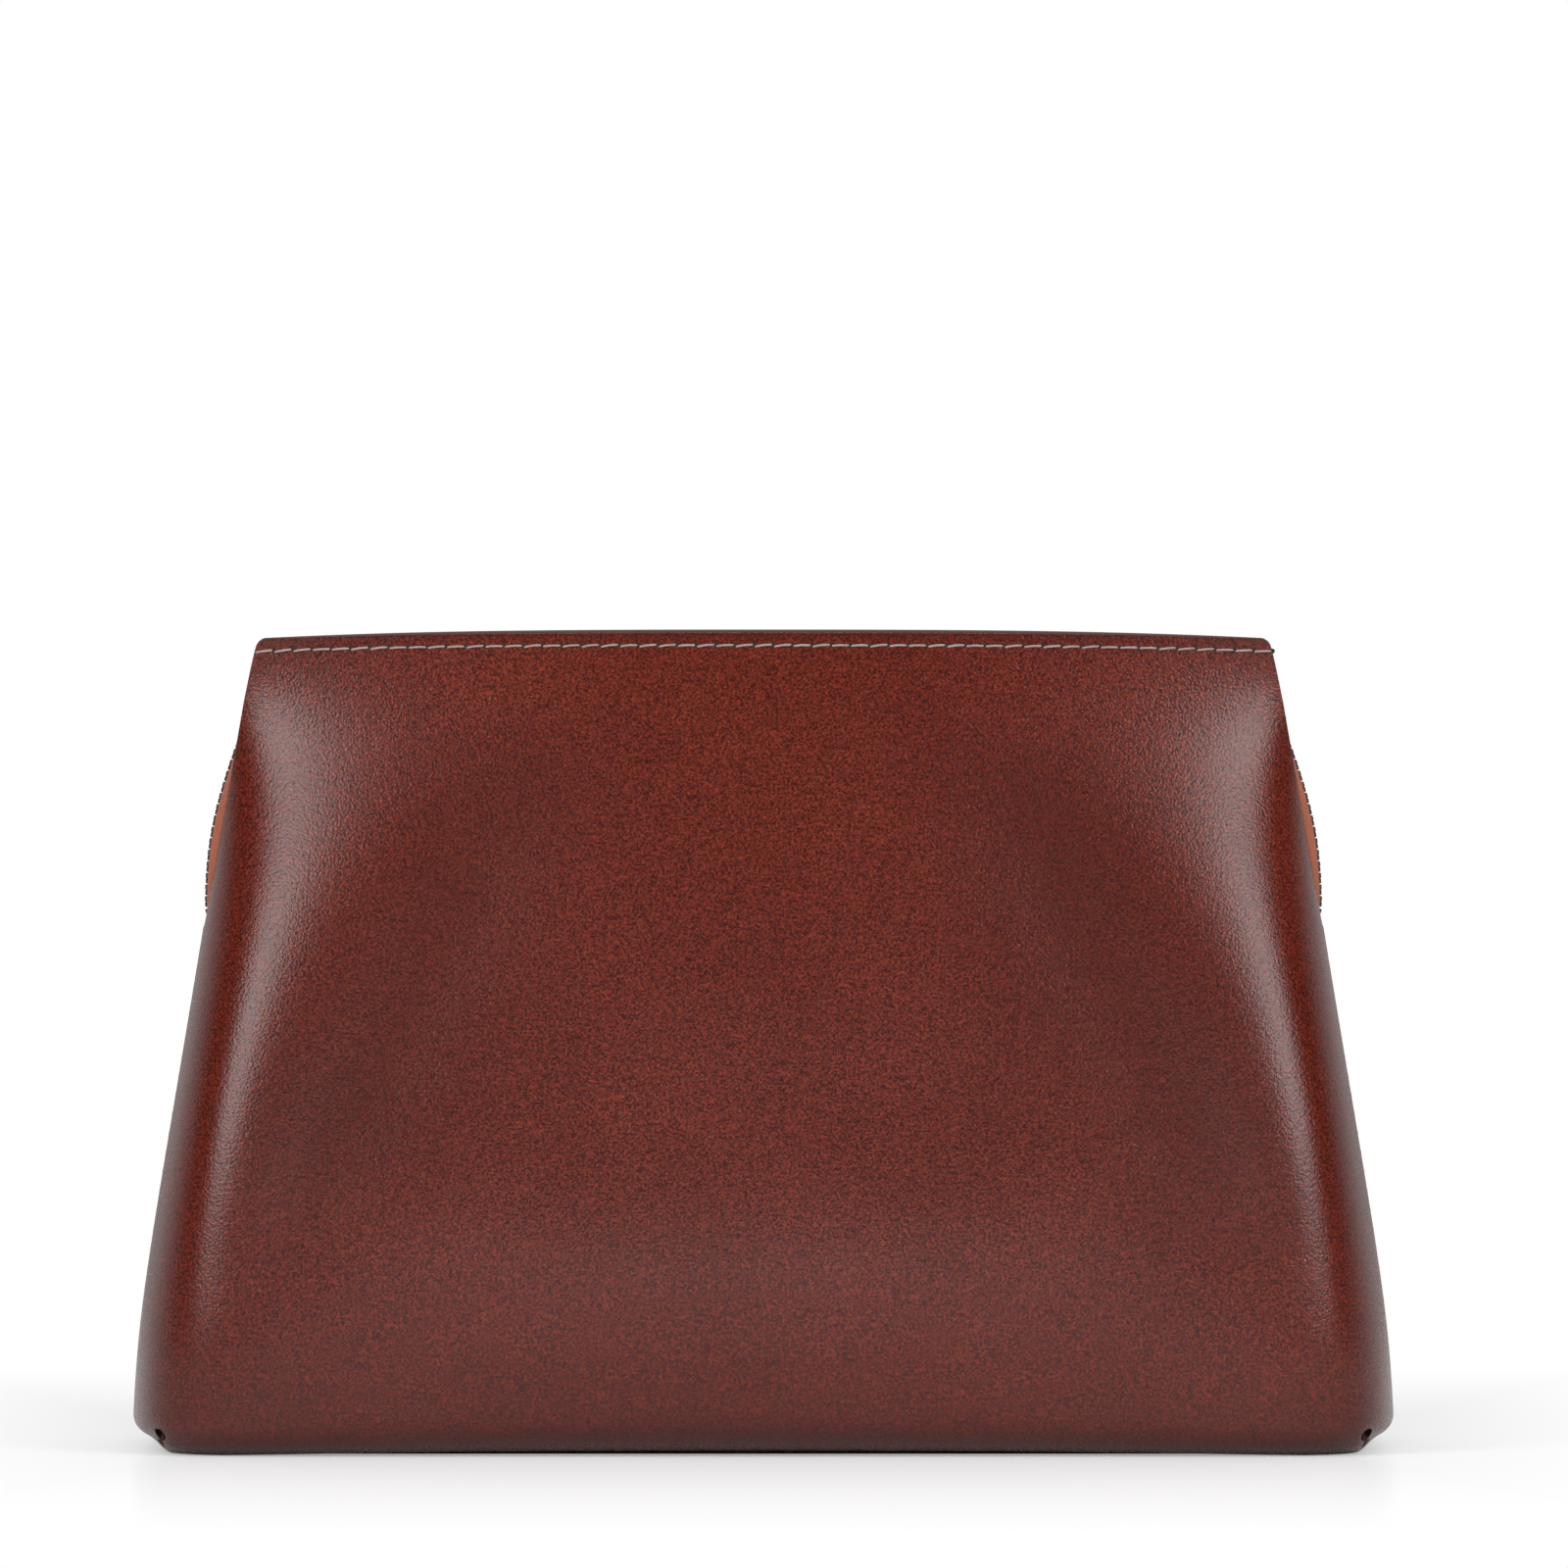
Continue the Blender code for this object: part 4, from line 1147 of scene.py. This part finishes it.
fold_middle = 7
across_all = 13
for tape_name, side in (("front", -1), ("rear", 1)):
    sewn_parts = [
        (-route_total, -opened_length, 0, across_all),
        (-opened_length, opened_length, fold_middle - 1, across_all),
        (opened_length, route_total, 0, across_all),
    ]
    fixed = tape_piece(f"tape_{tape_name}_sewn", side, sewn_parts)
    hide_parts(f"zip_tape_{tape_name}")
    for end_name, first, last in (("left", -opened_length, 0.0), ("right", 0.0, opened_length)):
        level = tape_piece(f"tape_{tape_name}_{end_name}", side, [(first, last, 0, fold_middle)])
        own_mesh(level)

# Zip teeth: dark metal teeth clamped on the tapes' edges, in two rows that mesh. Each is a short
# shank with a rounded head. Geometry Nodes set one at every pitch along the chain.

tooth_pitch = 2.4 * mm
tooth_reach = 0.55 * mm
tooth_profile = ((0.0, 0.22), (0.15, 0.42), (0.45, 0.5), (0.8, 0.46), (1.1, 0.36))
tooth_profile += ((1.5, 0.54), (1.8, 0.57), (2.9, 0.57), (3.3, 0.44))


def metal_material(name, dark, bright, low_gloss, high_gloss):
    """Metal with fine scratches that vary its gloss, and a tarnish that varies its tone."""
    made, tree, place = new_finish(name)
    drawn = {"Vector": place, "Scale": (0.25, 1.0, 1.0)}
    stretched = add_step(tree, "ShaderNodeMapping", drawn)
    scratches = add_noise(tree, stretched, 900.0, 4.0)[0]
    tarnish = add_noise(tree, place, 220.0, 3.0)[0]
    tint = add_mix(tree, tarnish, dark, bright)
    gloss = add_range(tree, scratches, low_gloss, high_gloss, start=0.3, end=0.7)
    shader = finish_surface(made, tint, gloss, scratches, 0.06, 0.05 * mm)
    shader["Metallic"].default_value = 1.0
    return made


oxidised = metal_material("oxidised_teeth", (0.07, 0.05, 0.045), (0.16, 0.12, 0.11), 0.28, 0.5)
gunmetal = metal_material("gunmetal", (0.17, 0.16, 0.155), (0.30, 0.285, 0.275), 0.16, 0.34)


def tooth_shape():
    """One tooth, its head at the chain's middle and its shank out along +y."""
    right = [(half * mm, along * mm - tooth_reach) for along, half in tooth_profile]
    outline = right + [(-x, y) for x, y in reversed(right)]
    middle_y = sum(y for _, y in outline) / len(outline)
    points = []
    for z, shrink in ((-1.0, 0.80), (-0.82, 1.0), (0.82, 1.0), (1.0, 0.80)):
        level, shorter = z * tooth_thick / 2, 0.5 + 0.5 * shrink
        points += [(x * shrink, middle_y + (y - middle_y) * shorter, level) for x, y in outline]
    mesh = new_mesh("tooth_shape", points, prism_faces(len(outline), rings=4))
    mesh.update()
    return bpy.data.objects.new("tooth_shape", mesh)


def teeth_tree():
    """A shape on every point, laid along the chain."""
    sockets = [("Shape", "Object"), ("Finish", "Material")]
    tree, inputs, output = geometry_tree("teeth_row", sockets)
    shape = add_node(tree, "GeometryNodeObjectInfo", {"Object": inputs["Shape"]})
    laid = turned_along(tree, named_value(tree, "along"), named_value(tree, "out"))
    placing = {"Points": inputs["Geometry"], "Instance": shape.outputs["Geometry"]}
    placing["Rotation"] = laid
    placed = add_step(tree, "GeometryNodeInstanceOnPoints", placing)
    real = add_step(tree, "GeometryNodeRealizeInstances", {"Geometry": placed})
    finished = {"Geometry": real, "Material": inputs["Finish"]}
    tree.links.new(add_step(tree, "GeometryNodeSetMaterial", finished), output["Geometry"])
    return tree


tooth = tooth_shape()
teeth_rows = teeth_tree()


def teeth_piece(name, side, shift, low, high):
    """The teeth of one row whose lengths along the chain are from low to high."""
    places, alongs, outs = [], [], []
    count = int(route_total / tooth_pitch)
    for k in range(-count, count + 1):
        length = (k + shift) * tooth_pitch
        if not low <= length < high or abs(length) > route_total:
            continue
        x, z, out_x, out_z = route_at(length)
        places.append((x, side * parted(length), z))
        outs.append((out_x, 0, out_z))
        alongs.append((side * out_z, 0, -side * out_x))
    mesh = new_mesh(name, places)
    keep_vectors(mesh, "along", alongs)
    keep_vectors(mesh, "out", outs)
    row = add_to_scene(name, mesh)
    grow(row, teeth_rows, {"Shape": tooth, "Finish": oxidised})
    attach(row, "bag")
    return row


for row_name, side, shift in (("front", -1, 0.0), ("rear", 1, 0.5)):
    for end_name, low, high in (("left", -opened_length, 0.0), ("right", 0.0, opened_length)):
        row = teeth_piece(f"teeth_{row_name}_{end_name}", side, shift, low, high)
        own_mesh(row)
        if end_name == "left":
            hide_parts(f"zip_teeth_{row_name}")
    teeth_piece(f"teeth_{row_name}_left_end", side, shift, -1.0, -opened_length)
    teeth_piece(f"teeth_{row_name}_right_end", side, shift, opened_length, 1.0)

# Zip stops: a thin metal strip crimped over both rows just past their last teeth, at each end.

stop_length = 2.5 * mm


def outline_mesh(name, parts):
    """One mesh of prisms: each is (outline, low, high, place), with place(a, b, level) a point."""
    mesh = bpy.data.meshes.new(name)
    shell = bmesh.new()
    for outline, low, high, place in parts:
        rings = [[shell.verts.new(place(a, b, level)) for a, b in outline] for level in (low, high)]
        shell.faces.new(rings[0][::-1])
        shell.faces.new(rings[1])
        count = len(outline)
        for i in range(count):
            j = (i + 1) % count
            shell.faces.new([rings[0][i], rings[0][j], rings[1][j], rings[1][i]])
    bmesh.ops.recalc_face_normals(shell, faces=shell.faces)
    shell.to_mesh(mesh)
    shell.free()
    return mesh


def rounded(corners, radius, steps=6):
    """A closed outline with its corners rounded; the radius is one for all or one for each."""
    radii = radius if isinstance(radius, (list, tuple)) else [radius] * len(corners)
    points = []
    for i, corner in enumerate(corners):
        here = Vector(corner)
        before = Vector(corners[i - 1]) - here
        after = Vector(corners[(i + 1) % len(corners)]) - here
        half_angle = before.angle(after) / 2
        if radii[i] == 0 or half_angle > 1.5:
            points.append(tuple(here))
            continue
        back = min(radii[i] / math.tan(half_angle), 0.49 * before.length, 0.49 * after.length)
        before, after = before.normalized(), after.normalized()
        start, end = here + before * back, here + after * back
        centre = here + (before + after).normalized() * back / math.cos(half_angle)
        for step in range(steps + 1):
            spoke = start.lerp(end, step / steps) - centre
            points.append(tuple(centre + spoke.normalized() * (start - centre).length))
    return points


for end_name, sign in (("left", -1), ("right", 1)):
    x, z, out_x, out_z = route_at(sign * route_total)

    def on_stop(a, b, level, x=x, z=z, out_x=out_x, out_z=out_z, sign=sign):
        past = a + gap
        return x + sign * out_z * past + out_x * level, b, z - sign * out_x * past + out_z * level

    right = [(stop_length, chain_half_width), (0.0, chain_half_width)]
    corners = [(a, -b) for a, b in reversed(right)] + right
    plate = (rounded(corners, 0.5 * mm), -tooth_thick / 2, tooth_thick / 2, on_stop)
    stop = add_object(f"stop_{end_name}", outline_mesh(f"stop_{end_name}", [plate]))
    stop.data.materials.append(gunmetal)
    round_edges(stop, 0.3 * mm, segments=3)
    keep_result(stop)
    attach(stop, "bag")
    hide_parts(f"zip_stop_{end_name}")

# Zip sliders: cast metal, two plates joined by a wedge at the nose, with turned rims that hold the
# teeth, and a bridge on top for the pull. They stand nose to nose in the middle of the mouth.

slider_length = 11.5 * mm
slider_plate = 1.2 * mm
slider_rim = 0.8 * mm
slider_play = 0.2 * mm
wedge_length = 1.9 * mm
bridge_width = 1.6 * mm
bridge_length = 7 * mm
bridge_height = 2.9 * mm
bridge_wall = 0.9 * mm
pivot_from_nose = 7 * mm
channel_half = tooth_thick / 2 + gap
rim_level = 0.6 * mm
rim_back = 0.9 * mm
nose_narrower = 1.2 * mm
tail_narrower = 0.8 * mm
weld = 0.3 * mm
slider_top = zip_level + channel_half + slider_plate


def slider_half_width(t):
    """Half a slider's width, t from its nose: it follows the rows of teeth inside it."""
    return chain_half_width + parted(slider_start + t) + gap + slider_play + slider_rim


def slider_outlines():
    """A slider's plate, one rim, wedge and bridge, each as a rounded outline."""
    rim_stations = np.linspace(rim_back, slider_length - rim_back, 14)
    stations = [0.0, *rim_stations, slider_length]
    halves = [slider_half_width(t) for t in stations]
    halves[0] -= nose_narrower
    halves[-1] -= tail_narrower
    near = list(zip(stations, halves))
    round_ends = [1.2 * mm] * 2 + [0.0] * 12 + [1.0 * mm] * 2
    plate = rounded(near + [(t, -y) for t, y in reversed(near)], round_ends + round_ends[::-1])
    rim = [(t, slider_half_width(t)) for t in rim_stations]
    rim += [(t, slider_half_width(t) - slider_rim) for t in reversed(rim_stations)]
    wedge = [(t, parted(slider_start + t) - 0.75 * mm) for t in np.linspace(gap, wedge_length, 4)]
    wedge = [(t, max(0.1 * mm, y)) for t, y in wedge]
    wedge += [(t, -y) for t, y in reversed(wedge)]
    start, end = pivot_from_nose - bridge_length / 2, pivot_from_nose + bridge_length / 2
    foot, top = slider_top - 0.5 * mm, slider_top + bridge_height
    leg, under = bridge_wall + 0.25 * mm, top - bridge_wall
    arch = [(start, foot), (start + 0.15 * mm, top), (end - 0.15 * mm, top), (end, foot)]
    arch += [(end - leg, foot), (end - leg, under), (start + leg, under), (start + leg, foot)]
    bridge = rounded(arch, [0, 1.5 * mm, 1.5 * mm, 0, 0, 0.6 * mm, 0.6 * mm, 0])
    return plate, rim, wedge, bridge


for end_name, sign in (("left", -1), ("right", 1)):

    def flat(a, b, level, sign=sign):
        return sign * (slider_start + a), b, level

    def far_flat(a, b, level, sign=sign):
        return sign * (slider_start + a), -b, level

    def upright(a, b, level, sign=sign):
        return sign * (slider_start + a), level, b

    plate, rim, wedge, bridge = slider_outlines()
    low_top, high_low = zip_level - channel_half, zip_level + channel_half
    slider_parts = [
        (plate, high_low, slider_top, flat),
        (plate, low_top - slider_plate, low_top, flat),
        (wedge, low_top - weld, high_low + weld, flat),
        (bridge, -bridge_width / 2, bridge_width / 2, upright),
    ]
    for place in (flat, far_flat):
        slider_parts.append((rim, zip_level + rim_level, high_low + weld, place))
        slider_parts.append((rim, low_top - weld, zip_level - rim_level, place))
    name = f"slider_{end_name}_cast"
    slider = add_object(name, outline_mesh(name, slider_parts))
    slider.data.materials.append(gunmetal)
    round_edges(slider, 0.28 * mm, segments=3, angle=40)
    keep_result(slider)
    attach(slider, f"slider_{end_name}")
    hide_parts(f"slider_{end_name}")

# Pulls: a wire link through each slider's bridge, and on it a leather pull, one narrow strip folded
# round the link, glued to itself and sewn along its edges.

link_wire = 0.45 * mm
link_length = 10 * mm
link_flare = 5.5 * mm
link_corner = 0.7 * mm
link_lift = 0.15 * mm
pull_half_width = 4 * mm
pull_leather = 1.1 * mm
pull_length = 30 * mm
pull_neck = 2 * mm
pivot_x = slider_start + pivot_from_nose
pivot_z = slider_top + gap + link_lift + link_wire
link_inner_half = bridge_width / 2 + gap + link_wire
link_outer_half = pull_half_width + gap + link_wire
layer_play = 0.02 * mm
trim_tones = ((0.070, 0.0085, 0.0042), (0.090, 0.0125, 0.0065), (0.040, 0.009, 0.006))
trim_leather = leather_material("trim_leather", *trim_tones, 0.34)


def wire_ring(name, points, normal, radius, finish, sides=14):
    """A closed ring of round wire through points in a plane with that normal."""
    path = np.array(points)
    ahead = np.roll(path, -1, axis=0) - np.roll(path, 1, axis=0)
    ahead /= np.linalg.norm(ahead, axis=1)[:, None]
    normal = np.array(normal, float) / np.linalg.norm(normal)
    across = np.cross(ahead, normal)
    angles = 2 * np.pi * np.arange(sides) / sides
    sideways, upward = np.cos(angles)[None, :, None], np.sin(angles)[None, :, None]
    rings = path[:, None] + radius * (sideways * across[:, None] + upward * normal)
    count = len(path)
    shell = bmesh.new()
    verts = [[shell.verts.new(point) for point in ring] for ring in rings]
    for i in range(count):
        for j in range(sides):
            k, m = (i + 1) % count, (j + 1) % sides
            shell.faces.new([verts[i][j], verts[i][m], verts[k][m], verts[k][j]])
    bmesh.ops.recalc_face_normals(shell, faces=shell.faces)
    mesh = bpy.data.meshes.new(name)
    shell.to_mesh(mesh)
    shell.free()
    made = add_object(name, mesh)
    mesh.materials.append(finish)
    return made


def strap_strip(name, path, halves, thick, place):
    """A leather strip along a path of (a, b), of that half width at each point, laid by place."""
    shares = np.linspace(-1, 1, 9)
    rows = [[place(a, share * half, b) for share in shares] for (a, b), half in zip(path, halves)]
    strip = add_object(name, grid_mesh(name, [np.array(rows)]))
    for finish in (trim_leather, leather_edge):
        strip.data.materials.append(finish)
    give_thickness(strip, thick, offset=0.0, rim_material=1)
    round_edges(strip, 0.2 * mm, segments=2, angle=45)
    keep_result(strip)
    wear_and_shade = strip.data.attributes.new("wear_and_shade", "FLOAT", "POINT")
    wear_and_shade.data.foreach_set("value", np.zeros(len(strip.data.vertices), np.float32))
    return strip


def end_half(past, half, corner):
    """Half width of a strip near its rounded end, past the start of its last corner radius."""
    if past <= 0:
        return half
    return half - corner + math.sqrt(max(corner**2 - past**2, (0.08 * corner) ** 2))


def end_places(length, corner):
    """Places along the last corner radius of a strip, close together at its end."""
    return length - layer_play - corner * np.array([0, 0.04, 0.12, 0.25, 0.45, 0.7, 1])


fold_middle_radius = link_wire + gap + pull_leather / 2
layer_middle = pull_leather / 2 + layer_play
neck = fold_middle_radius + pull_leather / 2 + pull_neck
pull_corner = 2.6 * mm
pull_narrow = 3.3 * mm


def pull_path():
    """The strip's middle line and half width, from one end round the fold to the other end."""
    half_path = [(a, layer_middle) for a in end_places(pull_length, pull_corner)]
    half_path += [(a, layer_middle) for a in np.linspace(pull_length - pull_corner, neck, 12)[1:]]
    meet = math.radians(62)
    turn = [
        (fold_middle_radius * math.cos(a), fold_middle_radius * math.sin(a))
        for a in np.linspace(meet, math.pi, 12)
    ]
    corner = Vector(turn[0])
    level = Vector((neck, layer_middle))
    control = Vector((corner.x + 0.9 * mm, layer_middle + 0.05 * mm))
    for share in np.linspace(0, 1, 7)[1:-1]:
        point = level.lerp(control, share).lerp(control.lerp(corner, share), share)
        half_path.append(tuple(point))
    half_path += turn
    halves = []
    for a, _ in half_path:
        half = pull_narrow + (pull_half_width - pull_narrow) * smooth_step(a / (12 * mm))
        halves.append(end_half(a - (pull_length - pull_corner), float(half), pull_corner))
    path = half_path + [(a, -b) for a, b in reversed(half_path[:-1])]
    return path, halves + halves[-2::-1]


for end_name, sign in (("left", -1), ("right", 1)):
    half_loop = [(0.0, link_inner_half), (link_flare, link_outer_half)]
    half_loop.append((link_length, link_outer_half))
    corners = [(x, -y) for x, y in half_loop] + [(x, y) for x, y in reversed(half_loop)]
    loop = [(sign * (pivot_x + x), y, pivot_z) for x, y in rounded(corners, link_corner)]
    link = wire_ring(f"link_{end_name}", loop, (0, 0, 1), link_wire, gunmetal)
    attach(link, f"pull_{end_name}")
    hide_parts(f"pull_link_{end_name}")

    def on_pull(a, across, b, sign=sign):
        return sign * (pivot_x + link_length + a), sign * across, pivot_z + b

    path, halves = pull_path()
    thick = pull_leather - 2 * layer_play
    pull = strap_strip(f"pull_leather_{end_name}", path, halves, thick, on_pull)
    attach(pull, f"pull_{end_name}")
    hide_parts(f"pull_tab_{end_name}")
    inset = 1.1 * mm
    sewn = [(pull_length - inset, pull_half_width - inset)]
    sewn.append((neck + 1.2 * mm, pull_narrow - 0.75 * mm))
    sewn = rounded([(a, -y) for a, y in reversed(sewn)] + sewn, [0, 1.6 * mm, 1.6 * mm, 0])
    sewn.append(sewn[0])
    top = pull_leather + 0.01 * mm
    lines = []
    for level in (1, -1):
        out = Vector((0, 0, level))
        lines.append([(Vector(on_pull(a, y, level * top)), out) for a, y in sewn])
    name = f"pull_stitches_{end_name}"
    sew(name, lines, f"pull_{end_name}", pitch=2.4 * mm, thread_width=0.32 * mm)

# Strap rings: a D-ring of round wire behind each upper corner, and the leather loop that holds it,
# a strip folded round the ring's bar and sewn to the rear panel through both its layers.

ring_x = 72 * mm
ring_wire = 1.5 * mm
ring_side_play = 1 * mm
ring_depth = 13 * mm
ring_rest_gap = 0.5 * mm
loop_leather = 1.2 * mm
loop_width = 14 * mm
loop_length = 18 * mm
loop_standoff = 0.55 * mm
loop_corner = 2.2 * mm
loop_landing = 5.6 * mm
ring_bar_height = body_height - loop_length - gap
loop_fold = ring_wire + gap + loop_leather
ring_standoff = loop_standoff + loop_fold
loop_low, loop_high = ring_bar_height - loop_length / 2, ring_bar_height + loop_length / 2
panel_slope = math.atan((half_depth(loop_low) - half_depth(loop_high)) / loop_length)
bar_y = plan_depth(ring_x, ring_bar_height) + ring_standoff / math.cos(panel_slope)
ring_lean = panel_slope - math.asin((ring_standoff - ring_wire - ring_rest_gap) / ring_depth)


def loop_path():
    """The loop's middle line and half width: down the panel side, round the bar and up again."""
    middle = loop_fold - loop_leather / 2
    inner, outer = -middle, -middle + loop_leather
    ends = end_places(loop_length, loop_corner)
    path = [(a, inner) for a in ends] + [(a, inner) for a in np.linspace(ends[-1], 0, 12)[1:]]
    off_bar = 0.1
    for angle in np.linspace(math.pi / 2, 2 * math.pi - off_bar, 30)[1:]:
        path.append((middle * math.cos(angle), -middle * math.sin(angle)))
    start = Vector(path[-1])
    control = start + Vector((math.sin(off_bar), -math.cos(off_bar))) * 1.6 * mm
    landed = Vector((loop_landing, outer))
    for share in np.linspace(0, 1, 9)[1:]:
        point = start.lerp(control, share).lerp(control.lerp(landed, share), share)
        path.append(tuple(point))
    path += [(a, outer) for a in np.linspace(loop_landing, ends[-1], 9)[1:]]
    path += [(a, outer) for a in ends[-2::-1]]
    widest = loop_width / 2
    halves = [end_half(a - (loop_length - loop_corner), widest, loop_corner) for a, _ in path]
    return path, halves


for end_name, sign in (("left", -1), ("right", 1)):
    bar_half = loop_width / 2 + ring_side_play + ring_wire
    round_from = ring_depth - bar_half
    arc = [math.pi * (1 - i / 24) for i in range(25)]
    shape = [(bar_half * math.cos(a), round_from + bar_half * math.sin(a)) for a in arc]
    shape = [(-bar_half, 0.0), *shape, (bar_half, 0.0)]
    shape = rounded(shape, [1.8 * mm] + [0.0] * 25 + [1.8 * mm])
    down_y, down_z = math.sin(ring_lean), -math.cos(ring_lean)
    middle_x, normal = sign * ring_x, (0, down_z, -down_y)
    placed = [(middle_x + x, bar_y + d * down_y, ring_bar_height + d * down_z) for x, d in shape]
    ring = wire_ring(f"ring_{end_name}_wire", placed, normal, ring_wire, gunmetal, sides=20)
    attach(ring, f"ring_{end_name}")
    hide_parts(f"strap_ring_{end_name}")

    def on_loop(a, across, b, sign=sign):
        y = bar_y + b * math.cos(panel_slope) - a * math.sin(panel_slope)
        z = ring_bar_height + a * math.cos(panel_slope) + b * math.sin(panel_slope)
        return sign * ring_x + across, y, z

    path, halves = loop_path()
    thick = loop_leather - 2 * layer_play
    loop = strap_strip(f"ring_loop_leather_{end_name}", path, halves, thick, on_loop)
    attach(loop, "bag")
    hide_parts(f"ring_loop_{end_name}")
    surface = 2 * loop_leather - loop_fold - layer_play
    low, high, half = 6.4 * mm, loop_length - 1.8 * mm, loop_width / 2 - 1.8 * mm
    box_row = rounded([(low, -half), (high, -half), (high, half), (low, half)], 0.8 * mm, steps=3)
    out = Vector((0, math.cos(panel_slope), math.sin(panel_slope)))
    line = [(Vector(on_loop(a, x, surface)), out) for a, x in box_row + box_row[:1]]
    sew(f"loop_stitches_{end_name}", [line], "bag", pitch=2.6 * mm, thread_width=0.45 * mm)
